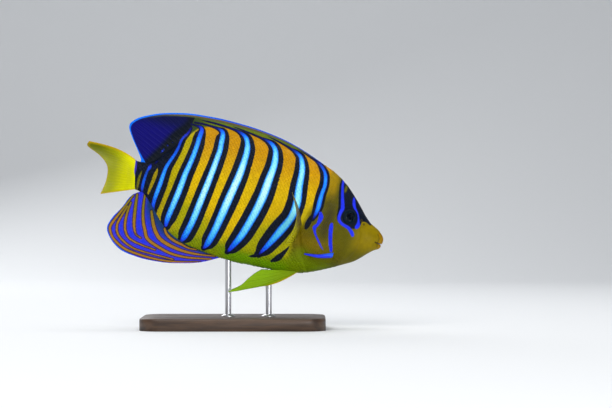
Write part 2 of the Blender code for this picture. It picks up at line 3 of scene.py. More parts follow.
import bmesh
import bpy
import numpy as np
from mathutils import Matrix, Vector


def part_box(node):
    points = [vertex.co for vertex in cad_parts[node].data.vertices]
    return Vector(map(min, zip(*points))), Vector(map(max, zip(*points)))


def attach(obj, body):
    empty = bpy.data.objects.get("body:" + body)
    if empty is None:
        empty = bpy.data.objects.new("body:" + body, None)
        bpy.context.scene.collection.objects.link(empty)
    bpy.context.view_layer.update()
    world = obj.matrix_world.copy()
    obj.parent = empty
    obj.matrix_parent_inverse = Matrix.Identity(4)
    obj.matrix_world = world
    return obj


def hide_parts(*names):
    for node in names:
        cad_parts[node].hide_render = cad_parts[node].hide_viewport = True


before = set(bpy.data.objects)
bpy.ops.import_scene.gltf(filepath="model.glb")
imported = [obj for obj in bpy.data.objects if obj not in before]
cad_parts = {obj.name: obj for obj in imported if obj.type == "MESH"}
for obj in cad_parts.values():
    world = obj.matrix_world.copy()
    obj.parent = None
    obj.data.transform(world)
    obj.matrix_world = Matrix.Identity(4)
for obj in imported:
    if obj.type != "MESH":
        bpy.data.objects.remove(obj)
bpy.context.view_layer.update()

# Studio. A sheet of pale paper is swept up behind the model. Broad soft lights stand above and in front, as
# even as the light of the photograph.
LIGHTS = {
    # place, width and height, power and colour
    "key_light": ((-0.35, -1.0, 0.95), (0.9, 0.7), 9.2, (1, 0.98, 0.95)),
    "fill_light": ((0.5, -1.1, 0.12), (0.8, 0.2), 4.6, (0.95, 0.98, 1)),
    "top_light": ((0.1, 0.15, 1.1), (0.9, 0.7), 6.5, (1, 1, 1)),
    "rear_light": ((-0.5, 0.9, 0.6), (0.7, 0.7), 4, (1, 1, 1)),
}
LIT_SPOT = Vector((0, 0, 0.08))
SKY_COLOUR, SKY_STRENGTH = (0.93, 0.95, 1, 1), 0.26
SWEEP_HALF_WIDTH = 3.0
SWEEP_FRONT, SWEEP_TURN, SWEEP_RADIUS, SWEEP_TOP = -4.0, 0.9, 0.7, 3.0

scene = bpy.context.scene
scene.view_settings.view_transform = "Standard"
for name, (place, size, power, colour) in LIGHTS.items():
    lamp = bpy.data.lights.new(name, "AREA")
    lamp.shape = "RECTANGLE"
    lamp.size, lamp.size_y = size
    lamp.energy = power
    lamp.color = colour
    light = bpy.data.objects.new(name, lamp)
    light.location = place
    light.rotation_euler = (LIT_SPOT - Vector(place)).to_track_quat("-Z", "Y").to_euler()
    scene.collection.objects.link(light)
scene.world = bpy.data.worlds.new("studio")
scene.world.use_nodes = True
sky = scene.world.node_tree.nodes["Background"].inputs
sky["Color"].default_value = SKY_COLOUR
sky["Strength"].default_value = SKY_STRENGTH


def new_material(name, settings):
    """A material, with its shader's inputs set by name."""
    made = bpy.data.materials.new(name)
    made.use_nodes = True
    for slot, value in settings.items():
        made.node_tree.nodes["Principled BSDF"].inputs[slot].default_value = value
    return made


def keep(bm, name, finish):
    """Turns a bmesh, laid out in metres where the piece stands, into an object."""
    mesh = bpy.data.meshes.new(name)
    bm.to_mesh(mesh)
    bm.free()
    mesh.materials.append(finish)
    mesh.shade_smooth()
    obj = bpy.data.objects.new(name, mesh)
    scene.collection.objects.link(obj)
    return obj


def new_verts(parts):
    return [part for part in parts if isinstance(part, bmesh.types.BMVert)]


sweep = bmesh.new()
start = sweep.verts.new((-SWEEP_HALF_WIDTH, SWEEP_FRONT, 0))
turn = sweep.verts.new((-SWEEP_HALF_WIDTH, SWEEP_TURN, 0))
sweep.edges.new((start, turn))
bent = bmesh.ops.spin(sweep, geom=[turn], cent=(0, SWEEP_TURN, SWEEP_RADIUS), axis=(1, 0, 0),
                      angle=math.pi / 2, steps=24, use_duplicate=False)
rise = bmesh.ops.extrude_vert_indiv(sweep, verts=new_verts(bent["geom_last"]))
bmesh.ops.translate(sweep, verts=rise["verts"], vec=(0, 0, SWEEP_TOP))
bmesh.ops.remove_doubles(sweep, verts=sweep.verts[:], dist=1e-5)
wide = bmesh.ops.extrude_edge_only(sweep, edges=sweep.edges[:])
bmesh.ops.translate(sweep, verts=new_verts(wide["geom"]), vec=(2 * SWEEP_HALF_WIDTH, 0, 0))
bmesh.ops.recalc_face_normals(sweep, faces=sweep.faces[:])
paper = new_material("pale paper", {"Base Color": (0.83, 0.85, 0.87, 1), "Roughness": 0.9})
backdrop = keep(sweep, "studio_floor", paper)

# The body's form, in millimetres, in a level frame of the fish's own: x runs forward from the root of the
# tail fin, y to its left and z up. The solids have this form too, and the skin follows it more finely.
MM = 0.001
NOSE_DOWN, TAIL_HEIGHT = math.radians(14.6), 99
SWAY, SWAY_START = 5, 70
BODY_END, SNOUT_START = -0.8, 156
TAIL_ROOT_SLANT, SLANT_FADES_AT = -0.216, 12
# places along x, with the level of the back, of the belly and of the greatest width, and half that width
BACK = (
    (-2, 10.4), (4, 10.9), (10, 14.5), (16, 21.5), (22, 28.5), (30, 35.4), (42, 40.3), (60, 43), (80, 43.5),
    (100, 41.6), (112, 39.3), (120, 37.8), (130, 33), (139, 26.1), (146, 19.3), (152, 12.8), (156, 9.3),
)
BELLY = (
    (-2, -8), (3, -8.7), (8, -10.2), (15, -16), (22, -23.4), (30, -29.5), (40, -33.6), (54, -36),
    (70, -37.4), (95, -36.4), (108, -35.6), (118, -34), (126, -31.2), (136, -26.4), (146, -20.8),
    (152, -17.1), (156, -13.4),
)
WIDEST_LEVEL = ((-2, 1), (60, 2), (100, -3), (126, -4), (146, -2.4), (156, -2.2))
HALF_WIDTH = (
    (-2, 2.6), (6, 3.9), (20, 6.2), (40, 9.2), (60, 12), (80, 14.3), (100, 16), (114, 16.5), (126, 15.8),
    (138, 13.2), (148, 9.9), (156, 7.2),
)
# Where fins stand, back and belly are flat this far to each side, from the first place to the last and in
# full between the middle two. The keel says how sharply the sides run up to the edge.
RIDGE, BACK_RIDGE_SPAN, BELLY_RIDGE_SPAN = 1.1, (5, 12, 112, 124), (4, 10, 60, 74)
BACK_KEEL = ((0, 1.0), (20, 1.3), (90, 1.35), (120, 1.15), (140, 0.95))
BELLY_KEEL = ((0, 1.0), (20, 1.3), (60, 1.3), (80, 0.95), (140, 0.9))
# rings over the snout and into the mouth: x and z at the top, x, y and z at the side, x and z below
SNOUT = (
    (0, 156, 9.3, 156, 7.4, -2.2, 156, -13.4), (1, 159, 7.9, 158.6, 6.7, -2.2, 159.2, -10.1),
    (2, 162, 6.3, 160.3, 6.0, -2.2, 161.7, -7.8), (3, 164, 4.7, 161, 5.5, -2.1, 163.4, -6.6),
    (4, 165.4, 3.3, 161.4, 5.4, -2, 164.9, -5.7), (5, 166.6, 1.2, 161.6, 4.9, -1.9, 166, -4.3),
    (6, 166.5, -1.6, 161.3, 4.4, -1.8, 165.9, -2.95), (7, 165.4, -2.24, 160.7, 3.9, -1.8, 165, -2.4),
    (8, 162.6, -2.26, 159, 3, -1.8, 162.2, -2.43), (9, 160.4, -2.26, 157.8, 1.8, -1.8, 160, -2.43),
)
GILL_CENTRE, GILL_RADIUS, GILL_RELIEF = (132, -4), 19.5, 0.9
CHEEK_PLATE = ((-17, 136.2), (-9, 133.4), (-3, 131.8), (4, 130.6), (12, 131.6))
CHEEK_RELIEF = 0.6
EYE, EYE_RADIUS, ORBIT_RELIEF = (141.3, 9.9), 4.9, 0.45


def ease(t):
    t = np.clip(t, 0, 1)
    return t * t * (3 - 2 * t)


def smooth(rows, at):
    """Values at places on the smooth lines through the rows, one array for each column after the first."""
    rows = np.asarray(rows, float)
    places, values = rows[:, 0], rows[:, 1:]
    gaps = np.diff(places)[:, None]
    chords = np.diff(values, axis=0) / gaps
    slopes = np.concatenate([chords[:1], chords[:1].repeat(len(rows) - 2, 0), chords[-1:]])
    slopes[1:-1] = (chords[:-1] * gaps[1:] + chords[1:] * gaps[:-1]) / (gaps[:-1] + gaps[1:])
    at = np.clip(at, places[0], places[-1])
    i = np.clip(np.searchsorted(places, at, side="right") - 1, 0, len(places) - 2)
    gap = gaps[i, 0][..., None]
    t = (at - places[i])[..., None] / gap
    found = (
        values[i] * (2 * t**3 - 3 * t**2 + 1) + values[i + 1] * (3 * t**2 - 2 * t**3)
        + slopes[i] * gap * (t**3 - 2 * t**2 + t) + slopes[i + 1] * gap * (t**3 - t**2)
    )
    return np.moveaxis(found, -1, 0)


def span_share(span, along):
    first, full, fading, gone = span
    return ease((along - first) / (full - first)) * ease((gone - along) / (gone - fading))


def relief(x, z):
    """Height of the gill cover, the cheek plate and the rim of the eye over the plain side of the head."""
    inside = GILL_RADIUS - np.hypot(x - GILL_CENTRE[0], z - GILL_CENTRE[1])
    gill = GILL_RELIEF * ease((inside + 0.4) / 0.8) * ease((16 - inside) / 14)
    ahead = x - smooth(CHEEK_PLATE, z)[0]
    plate = CHEEK_RELIEF * ease((ahead + 0.6) / 0.9) * ease((9 - ahead) / 8) * ease((8 - np.abs(z + 6)) / 3)
    from_eye = np.hypot(x - EYE[0], z - EYE[1])
    orbit = ORBIT_RELIEF * np.exp(-((from_eye - EYE_RADIUS - 0.6) ** 2))
    return gill + plate + orbit


def form_at(along):
    """The level of the greatest width, the back, the belly and half that width, along the body."""
    return [smooth(rows, along)[0] for rows in (WIDEST_LEVEL, BACK, BELLY, HALF_WIDTH)]


def flank(along, x, z, half, out, above):
    """Half the width at places where the side has turned in from its widest by the share out."""
    ridge = RIDGE * np.where(above, span_share(BACK_RIDGE_SPAN, along), span_share(BELLY_RIDGE_SPAN, along))
    keel = np.where(above, smooth(BACK_KEEL, along)[0], smooth(BELLY_KEEL, along)[0])
    return ridge + (half - ridge) * out**keel + relief(x, z) * out


def body_point(along, angle, grow=0.0):
    """Points on the body: angle 0 is the back, half a turn is the belly, and y takes the sine's sign."""
    level, back, belly, half = form_at(along)
    up, side = np.cos(angle), np.sin(angle)
    out, above = np.abs(side), up >= 0
    z = level + np.where(above, back + grow - level, level - belly + grow) * up
    x = along + TAIL_ROOT_SLANT * z * ease((SLANT_FADES_AT - along) / (SLANT_FADES_AT - BODY_END))
    y = flank(along, x, z, half + grow, out, above) * np.sign(side)
    return np.stack([x, np.where(out < 1e-6, 0, y), z], -1)


def snout_point(turns, angle):
    """Points on the snout, over the lips and into the mouth as the turns run from 0 to 9."""
    top_x, top_z, side_x, side_y, level, low_x, low_z = smooth(SNOUT, turns)
    up, side = np.cos(angle), np.sin(angle)
    x = side_x + (np.where(up >= 0, top_x, low_x) - side_x) * up * up
    z = level + (np.where(up >= 0, top_z, low_z) - level) * np.abs(up)
    y = side_y * np.sign(side) * np.abs(side) ** (0.95 - 0.05 * ease((turns - 1) / 3))
    return np.stack([x, np.where(np.abs(side) < 1e-6, 0, y), z], -1)


def side_at(x, z):
    """Half the body's width at places on its side."""
    level, back, belly, half = form_at(x)
    above = z >= level
    share = np.where(above, (z - level) / (back - level), (level - z) / (level - belly))
    return flank(x, x, z, half, np.sqrt(np.clip(1 - share * share, 0, 1)), above)


def belly_at(x, y):
    level, _, belly, half = form_at(x)
    out = np.clip(np.abs(y) / half, 0, 1) ** (1 / smooth(BELLY_KEEL, x)[0])
    return level - (level - belly) * np.sqrt(1 - out * out)


def sway(x):
    return SWAY * (np.maximum(0, SWAY_START - x) / SWAY_START) ** 2


def turned(points):
    """Level points in millimetres, bent at the tail and tipped nose down, still round the tail's root."""
    x, y, z = np.moveaxis(points, -1, 0)
    cos, sin = math.cos(NOSE_DOWN), math.sin(NOSE_DOWN)
    return np.stack([x * cos + z * sin, y + sway(x), z * cos - x * sin], -1)


snout_grid = np.meshgrid(np.linspace(0, SNOUT[-1][0], 19), np.linspace(0, math.pi, 21))
SNOUT_REACH = turned(snout_point(*snout_grid))[..., 0].max()
FISH_PLACE = np.array([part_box("head")[1][0] / MM - SNOUT_REACH, 0, TAIL_HEIGHT])


def placed(points):
    """Level points in millimetres, carried to where the fish hangs over its base, in metres."""
    return (turned(points) + FISH_PLACE) * MM


# Camera. A long lens looks level at the fish's right flank, so that the fish fills the picture as it does
# in the photograph.
PICTURE, PIXELS_PER_MM, TAIL_ROOT_PIXEL = (612, 408), 1.5313, (136, 177)
LENS_MM, SENSOR_MM = 135, 36
aim_x, aim_z = ((PICTURE[i] / 2 - TAIL_ROOT_PIXEL[i]) / PIXELS_PER_MM for i in (0, 1))
away = PICTURE[0] / PIXELS_PER_MM * LENS_MM / SENSOR_MM
lens = bpy.data.cameras.new("camera")
lens.lens, lens.sensor_width = LENS_MM, SENSOR_MM
lens.clip_start, lens.clip_end = 0.05, 30
camera = bpy.data.objects.new("camera", lens)
camera.location = ((FISH_PLACE[0] + aim_x) * MM, -away * MM, (TAIL_HEIGHT - aim_z) * MM)
camera.rotation_euler = (math.pi / 2, 0, 0)
scene.collection.objects.link(camera)
scene.camera = camera

# Markings. Each band or line is a row of places down its middle, with half its width and how pale it is.
# Every skin, scale and fin point carries its distance from their edges, so that the paint stays crisp.
BANDS = {
    # x, z, half width, how pale it is, and the black border in front and behind
    "shoulder": (
        (94, 45.6, -0.3, 0, 0, 0), (98, 44.5, 0.1, 0, 0.2, 0.3), (102, 43.2, 0.25, 0, 0.3, 0.4),
        (107, 41.4, 0.35, 0, 0.3, 0.5), (111, 39.9, 0.5, 0.05, 0.4, 0.7),
        (114.5, 38.1, 0.75, 0.12, 0.8, 1.4), (118.5, 34, 0.95, 0.3, 1.6, 2.4),
        (120.1, 30, 1.1, 0.4, 1.7, 2.6), (120.7, 25, 1.15, 0.4, 1.7, 2.7), (120.2, 20, 1.25, 0.42, 1.7, 2.6),
        (120.1, 15, 1.5, 0.44, 1.7, 2.3), (120.1, 10, 1.35, 0.42, 1.7, 2.2), (119.2, 5, 0.8, 0.1, 1.2, 1.6),
        (118.6, 2.2, 0.4, 0, 0.8, 1),
    ),
    "first": (
        (74, 47.8, -0.3, 0, 0, 0), (79, 47, 0.1, 0, 0.2, 0.3), (84, 45.9, 0.25, 0, 0.3, 0.4),
        (89, 44.6, 0.35, 0, 0.3, 0.5), (93.5, 43.3, 0.5, 0.05, 0.4, 0.7), (97.5, 41.9, 0.85, 0.2, 1, 1.6),
        (100.8, 39.7, 1.25, 0.45, 1.7, 2.4), (102.9, 35.5, 1.7, 0.75, 2.4, 3),
        (104.2, 30, 1.95, 0.9, 3, 3.4), (104.9, 20, 2.25, 0.88, 3.4, 3.9), (106.1, 10, 2.55, 0.94, 3, 4.4),
        (104.8, 0, 2.4, 0.82, 3.1, 4.7), (100.3, -10, 2.55, 0.66, 3.5, 5), (95.3, -20, 1.75, 0.4, 3.8, 5),
        (92.5, -25, 1.1, 0.12, 3.5, 4.3), (90.4, -28.6, 0.4, 0, 1.8, 2.6),
    ),
    "second": (
        (50, 48.2, -0.3, 0, 0, 0), (55, 47.7, 0.1, 0, 0.2, 0.3), (60, 47.1, 0.25, 0, 0.3, 0.4),
        (67, 46.2, 0.35, 0, 0.3, 0.5), (73, 45.3, 0.45, 0.05, 0.4, 0.7), (77.3, 44.4, 0.75, 0.15, 0.9, 1.5),
        (80.6, 43.1, 1.2, 0.35, 1.6, 2.3), (83.2, 40.6, 1.5, 0.6, 2.4, 3), (84.6, 37.5, 1.75, 0.8, 3, 3.4),
        (85.4, 33, 2.05, 0.88, 3.4, 3.6), (85.5, 28, 2.2, 0.92, 3.6, 3.7), (84.7, 20, 2.55, 1.1, 3.9, 3.7),
        (83.9, 10, 2.75, 1.1, 4.1, 3.9), (82.1, 0, 2.65, 0.95, 4.4, 4.3), (79.5, -10, 2.45, 0.77, 4.5, 4.3),
        (76.3, -20, 2.25, 0.6, 4.2, 4.2), (71.9, -29, 1.3, 0.12, 3.2, 3.4), (70.3, -32.2, 0.4, 0, 1.3, 1.6),
    ),
    "third": (
        (30, 46.6, -0.2, 0, 0, 0), (36, 46.9, 0.25, 0, 0.3, 0.4), (44, 46.9, 0.4, 0, 0.3, 0.4),
        (51, 46.5, 0.45, 0, 0.3, 0.5), (56.5, 45.8, 0.55, 0.05, 0.5, 0.8), (60.4, 44.6, 0.95, 0.2, 1.2, 1.8),
        (63.4, 42.5, 1.4, 0.5, 2.2, 2.6), (65.2, 39, 1.6, 0.7, 3, 3.2), (66.1, 35, 1.9, 0.8, 3.4, 3.7),
        (66.2, 30, 2, 0.85, 3.5, 3.8), (65.6, 20, 2.4, 1.1, 3.6, 3.7), (64.1, 10, 2.5, 1.12, 4, 3.7),
        (62.4, 0, 2.65, 1.08, 4.1, 3.4), (60.8, -10, 2.55, 0.84, 3.8, 3.2), (59, -20, 2.3, 0.66, 3.7, 3.3),
        (56.7, -29, 2, 0.4, 3.2, 3.1), (54.8, -33.4, 0.8, 0.03, 1.3, 1.4),
    ),
    "fourth": (
        (28, 44.2, 0.3, 0, 0.3, 0.4), (34, 44.6, 0.4, 0, 0.3, 0.4), (40, 44.5, 0.45, 0, 0.3, 0.5),
        (44.4, 44, 0.65, 0.1, 0.7, 1), (47.2, 42.8, 1.2, 0.3, 1.8, 1.8), (48.2, 40, 1.6, 0.55, 2.8, 2.6),
        (48.6, 35, 1.7, 0.68, 3.4, 2.9), (48.9, 30, 1.75, 0.75, 3.5, 3), (48.1, 20, 1.9, 1, 3.6, 3),
        (47.1, 10, 2.05, 1.03, 3.5, 3.4), (45.8, 0, 2.15, 1.06, 3.6, 3.4), (44.5, -10, 2.2, 0.88, 3.6, 3.4),
        (43, -20, 2.1, 0.65, 3.7, 3.6), (40.7, -29, 1.9, 0.35, 3.6, 3.1), (39.4, -32.5, 1, 0.05, 2, 2),
    ),
    "fifth": (
        (26, 42.6, 0.3, 0, 0.3, 0.4), (30, 42.5, 0.45, 0, 0.3, 0.5), (32.6, 42, 0.8, 0.05, 0.6, 1),
        (33.8, 40.6, 1.2, 0.12, 1.2, 1.8), (33.9, 38, 1.45, 0.25, 2, 2.4), (33.6, 34, 1.5, 0.42, 2.8, 2.7),
        (33.6, 30, 1.5, 0.52, 3.2, 2.7), (32.7, 20, 1.65, 0.62, 3.5, 3), (31, 10, 1.8, 0.72, 3.7, 3),
        (30, 0, 2, 0.8, 3.7, 3.1), (28.6, -10, 1.9, 0.74, 3.9, 3.3), (27, -20, 1.7, 0.45, 3.9, 3.1),
        (26.8, -25.5, 1.1, 0.08, 2.5, 2.6),
    ),
    "sixth": (
        (26.7, 40, 0.5, 0, 0.6, 1.5), (25.4, 36, 0.7, 0.04, 1.2, 2), (23, 32.5, 0.85, 0.1, 2, 2.6),
        (22.3, 29, 0.85, 0.14, 2.2, 3), (21.9, 25, 0.9, 0.2, 2.2, 3), (20.6, 20, 0.95, 0.26, 2.5, 3),
        (18.8, 15, 1.05, 0.34, 2.9, 3), (17.4, 10, 1.15, 0.42, 3.2, 3), (16.6, 0, 1.4, 0.52, 3.5, 3),
        (15.7, -8, 1.3, 0.42, 3.6, 3), (15.4, -14, 1.1, 0.2, 3.4, 3), (16.2, -19, 0.8, 0, 2, 2),
    ),
    "stalk": (
        (7.3, 10.6, 0.5, 0.05, 3, 3), (7, 8.4, 1, 0.12, 3, 3), (6.1, 5.4, 0.75, 0.18, 3, 3),
        (5.6, 0, 0.9, 0.25, 3, 3), (5.6, -5, 0.9, 0.2, 3, 3), (6.1, -9, 0.6, 0, 3, 3),
    ),
    "fleck": ((9.7, 11.5, 0.4, 0, 0.6, 0.6), (10.9, 13.7, 0.5, 0, 0.6, 0.6)),
}
# Behind the sixth band all is black, but for two dim olive patches on the stalk.
STALK_EDGE = ((-20, 15.5), (-8, 15.7), (2, 16.6), (12, 18), (20, 20.5), (30, 22.6), (36, 25), (46, 27))
STALK_PATCHES = (
    ((12.4, 9, 0.3), (12, 5, 1.1), (11.5, 0, 1.1), (10.8, -5, 0.9), (10.4, -8.5, 0.6)),
    ((2.6, 5, 0.2), (2, 0, 0.8), (2.2, -5, 0.7), (2.4, -8, 0.3)),
)
HEAD_LINES = {
    "behind_eye": (
        (131.7, 32, 0.6), (131.9, 29, 0.7), (132.6, 25.5, 0.8), (133.7, 21, 0.95), (135, 16.5, 1.15),
        (135.5, 14, 1.2), (135, 11.5, 1), (134.7, 8.5, 0.95), (135.1, 6.5, 0.95), (136.8, 4.8, 0.95),
        (139, 3.8, 0.9), (142, 3, 1), (144.2, 1.4, 1.15), (145.8, -0.4, 1.15), (146.2, -1.3, 0.9),
    ),
    "before_eye": (
        (141.2, 22.4, 0.6), (141.9, 19.5, 0.95), (143, 16.8, 0.8), (144.8, 14.8, 0.5), (146.2, 13, 0.42),
        (147.2, 10.5, 0.5), (147.8, 8.2, 0.8), (148, 6.2, 1.3), (147.4, 4.6, 1.2),
    ),
    "cheek": (
        (131.2, 2.6, 0.8), (131.4, 0.5, 1.25), (131.9, -3, 1.25), (132.8, -7, 1.15), (133.8, -10.5, 1.1),
        (134.8, -13, 0.95), (135.4, -14.7, 0.7),
    ),
    "gill_cover": (
        (122.4, 7.6, 0.9), (123.2, 5.5, 1.55), (123.2, 3.4, 1.4), (122.8, 1, 1), (122, -0.8, 0.9),
        (121, -2.4, 1.15), (121.7, -4.6, 0.8), (123, -7, 0.6), (125.3, -9.8, 0.6), (127.8, -12.8, 0.5),
        (129.8, -15, 0.3),
    ),
}
DARK_LINES = {
    # the mouth line is painted shade, in the crease between the closed lips
    "mouth": ((161.4, -1.8, 0.1), (163, -2, 0.24), (165, -2.3, 0.32), (166.8, -2.4, 0.34)),
    "second_band_end": ((90.4, -28.4, 1.1), (87.4, -30.3, 1.1), (84.6, -31.3, 0.3)),
    "shoulder_blot": ((117.4, 5, 0.7), (116.9, 2, 1.5), (116.2, -1.5, 1.8), (115.8, -4, 1.1)),
    "breast_wedge": ((108.5, -18, 0.3), (106, -23, 1.3), (103, -27.6, 2), (99.5, -30.6, 0.8)),
}
EYE_MASK = (
    (130.3, 34), (129.9, 28), (131.1, 21), (132.7, 14), (133, 9), (133.9, 6), (136.5, 3.6), (140, 2.5),
    (143, 2.4), (146, 3.2), (148.6, 4.1), (149.6, 6.5), (150, 8.9), (152.4, 9.4), (156, 7.8), (160, 14),
    (150, 40), (131, 42),
)
CROWN_PATCH = (134.6, 27)  # a dim patch in the mask over the eye
LIP_LINE = ((-9, 161.5), (-5, 163.6), (-2.4, 163.3), (-1.4, 163.4), (0.8, 163.7), (4.2, 161.7), (7.5, 159.6))
EDGE_LIMIT, FAR = 6, 9.0  # distances are worked out this near a line, and this stands for all beyond
LINE_STEPS = 5  # straight pieces to each row of a line

BLACK, BLUE_BLACK = (0.003, 0.006, 0.014), (0.012, 0.02, 0.07)
# blues by how pale they are
BLUES = (
    (0, 0.016, 0.02, 0.82), (0.35, 0.01, 0.22, 0.92), (0.65, 0.09, 0.56, 0.95), (1, 0.34, 0.86, 0.97),
    (1.3, 0.7, 0.98, 0.93),
)
DEEP_BLUE, LINE_BLUE = BLUES[0][1:], (0.016, 0.035, 0.85)
ORANGE, GOLD, LOW_GOLD, OLIVE = (0.54, 0.26, 0.0), (0.7, 0.46, 0.0), (0.37, 0.35, 0.0), (0.13, 0.135, 0.004)
REAR_GOLD, BELLY_GREEN = (0.44, 0.36, 0.0), (0.15, 0.32, 0.0)
LIP, LIP_SHADE = (0.36, 0.17, 0.0), (0.05, 0.03, 0.002)
HEAD_OLIVE, MUZZLE, NAPE = (0.12, 0.105, 0.001), (0.25, 0.18, 0.0), (0.36, 0.23, 0.0)
CHEEK_BROWN, BREAST = (0.24, 0.165, 0.0), (0.17, 0.25, 0.0)
SMUDGE, FLECK = (0.062, 0.054, 0.008), (0.05, 0.045, 0.08)


def mix(first, second, share):
    """Blends two colours, or arrays of them, by a share for each point."""
    share = np.clip(share, 0, 1)[..., None]
    return np.asarray(first) * (1 - share) + np.asarray(second) * share


def coated(colour, *coats):
    """A colour under coats of others, each with its share for every point."""
    for coat, share in coats:
        colour = mix(colour, coat, share)
    return colour


def lump(x, z, centre, spread):
    return np.exp(-((x - centre[0]) / spread[0]) ** 2 - ((z - centre[1]) / spread[1]) ** 2)


def drawn(rows, steps):
    """The smooth line through rows of values, in so many steps for each row."""
    numbered = np.column_stack([np.arange(len(rows)), rows])
    return smooth(numbered, np.linspace(0, len(rows) - 1, steps * len(rows)))


def off_segment(x, z, start, end):
    """How far points lie off a straight segment, in x and in z, and how far along it they are."""
    dx, dz = end[0] - start[0], end[1] - start[1]
    t = np.clip(((x - start[0]) * dx + (z - start[1]) * dz) / (dx * dx + dz * dz), 0, 1)
    return x - start[0] - t * dx, z - start[1] - t * dz, t


def across_line(x, z, rows):
    """How far points lie in front of a line's middle, or behind it where below zero, and its values there."""
    line = drawn(rows, LINE_STEPS)
    across = np.full(x.shape, 99.0)
    values = np.zeros((len(line) - 2,) + x.shape)
    near = (x > line[0].min() - EDGE_LIMIT) & (x < line[0].max() + EDGE_LIMIT)
    near &= (z > line[1].min() - EDGE_LIMIT) & (z < line[1].max() + EDGE_LIMIT)
    px, pz = x[near], z[near]
    best, at, side = np.full(px.shape, 1e9), np.zeros(px.shape), np.ones(px.shape)
    for i, (start, end) in enumerate(zip(line[:2].T, line[:2, 1:].T)):
        off_x, off_z, t = off_segment(px, pz, start, end)
        gap = off_x**2 + off_z**2
        closer = gap < best
        best[closer], at[closer] = gap[closer], (i + t)[closer]
        left = (end[0] - start[0]) * off_z - (end[1] - start[1]) * off_x >= 0
        side[closer] = np.where(left, 1, -1)[closer]
    across[near] = np.sqrt(best) * side
    for k in range(len(values)):
        values[k][near] = np.interp(at, np.arange(line.shape[1]), line[k + 2])
    return across, values


def line_edge(x, z, rows):
    """Distance from a line's edge, below zero on the line."""
    across, (half,) = across_line(x, z, rows)
    return np.abs(across) - half


def inside_outline(x, z, outline):
    """Distance from a closed outline's edge, below zero inside it."""
    best, inside = np.full(x.shape, 1e9), np.zeros(x.shape, bool)
    for start, end in zip(outline, outline[1:] + outline[:1]):
        off_x, off_z, _ = off_segment(x, z, start, end)
        best = np.minimum(best, np.hypot(off_x, off_z))
        rise = end[1] - start[1]
        crosses = (start[1] > z) != (end[1] > z)
        inside ^= crosses & (x < start[0] + (end[0] - start[0]) * (z - start[1]) / (rise if rise else 1e-9))
    return np.where(inside, -best, best)


def band_fields(x, z):
    """Distances from the edges of the blue bands and of their black borders, and the blue there."""
    blue, dark = np.full(x.shape, FAR), np.full(x.shape, FAR)
    colour = np.broadcast_to(DEEP_BLUE, x.shape + (3,)).copy()
    for rows in BANDS.values():
        across, (half, pale, front, behind) = across_line(x, z, rows)
        edge = np.abs(across) - half
        dark = np.minimum(dark, edge - np.where(across > 0, front, behind))
        core = ease(1.7 * -edge / np.maximum(half, 0.1))
        shade = np.moveaxis(smooth(BLUES, pale * (0.25 + 0.8 * core)), 0, -1)
        shade = shade * (0.08 + 0.92 * ease((half - 0.35) / 0.8))[..., None]
        nearer = edge < blue
        colour[nearer] = shade[nearer]
        blue = np.minimum(blue, edge)
    dark = np.minimum(dark, x - smooth(STALK_EDGE, z)[0])
    for rows in STALK_PATCHES:
        dark = np.maximum(dark, -line_edge(x, z, rows))
    return blue, dark, colour


def body_ground(x, z):
    """The colour between the bands: orange above, gold below and olive on the head, breast and stalk."""
    gold_foot = -12 - 18 * np.exp(-(((x - 66) / 18) ** 2))
    flecks = np.sin(4.3 * x + 1.4 * z) * np.sin(3.6 * z - 2.1 * x) + 0.6 * np.sin(7.7 * x - 5.9 * z)
    ahead = x - smooth(LIP_LINE, z)[0]
    gill = 112 + 0.25 * np.maximum(z, 0) + 0.4 * np.clip(z, -12, 0)
    head = coated(
        HEAD_OLIVE,
        (MUZZLE, ease((x - 143) / 9) * ease((z + 14) / 9)),
        (CHEEK_BROWN, 0.8 * lump(x, z, (124, -13), (10, 5))),
        (NAPE, ease((z - 14) / 12) * ease((131 - x) / 4)),
        (SMUDGE, 0.95 * lump(x, z, (128.6, 7), (3.6, 12)) + 0.5 * lump(x, z, (127.5, -4), (3.5, 6))),
        (CHEEK_BROWN, 0.6 * lump(x, z, (114, -11), (4, 8))),
        (BREAST, 0.7 * lump(x, z, (117, -20.5), (5, 4))),
        (BREAST, 0.85 * ease((-18 - z) / 9) * ease((146 - x) / 14)),
        (FLECK, 0.3 * ease(flecks) * lump(x, z, (126, 4), (7, 15))),
        (LIP, 0.7 * ease(ahead / 1.2) * ease((z + 7) / 3) * ease((6 - z) / 3)),
        (LIP_SHADE, 0.6 * np.exp(-((ahead / 0.32) ** 2)) * ease((z + 6) / 2) * ease((5 - z) / 2)),
    )
    return coated(
        LOW_GOLD,
        (GOLD, ease((z - gold_foot) / 16)),
        (ORANGE, ease((z - 8) / 30)),
        (REAR_GOLD, ease((35 - x) / 6) + 0.8 * ease((x - 108) / 5) * ease((14 - z) / 10)),
        (mix(OLIVE, GOLD, 0.35), ease((27 - x) / 16) * ease((6 - z) / 16) + ease((16 - x) / 4)),
        (OLIVE, ease((5 - x) / 4)),
        (BREAST, 0.8 * ease((-25 - z) / 6)),
        (head, ease((x - gill) / 4)),
        (BREAST, ease((-24 - z) / 5) * ease((x - 92) / 14)),
        (BELLY_GREEN, ease((-28 - z) / 5) * ease((x - 62) / 10) * ease((116 - x) / 12)),
    )


def body_marks(x, z):
    """All that is painted on the body: ground colour, edge of the black, edge of the lines, their colour."""
    blue, dark, colour = band_fields(x, z)
    for rows in HEAD_LINES.values():
        edge = line_edge(x, z, rows)
        colour[edge < blue] = LINE_BLUE
        blue = np.minimum(blue, edge)
    for rows in DARK_LINES.values():
        dark = np.minimum(dark, line_edge(x, z, rows))
    dark = np.minimum(dark, inside_outline(x, z, EYE_MASK))
    crown = np.hypot((x - CROWN_PATCH[0]) / 0.9, (z - CROWN_PATCH[1]) / 2.6) - 1
    ground = mix(body_ground(x, z), OLIVE, 0.75 * ease(-crown / 0.3))
    return ground, np.maximum(dark, -crown), blue, colour


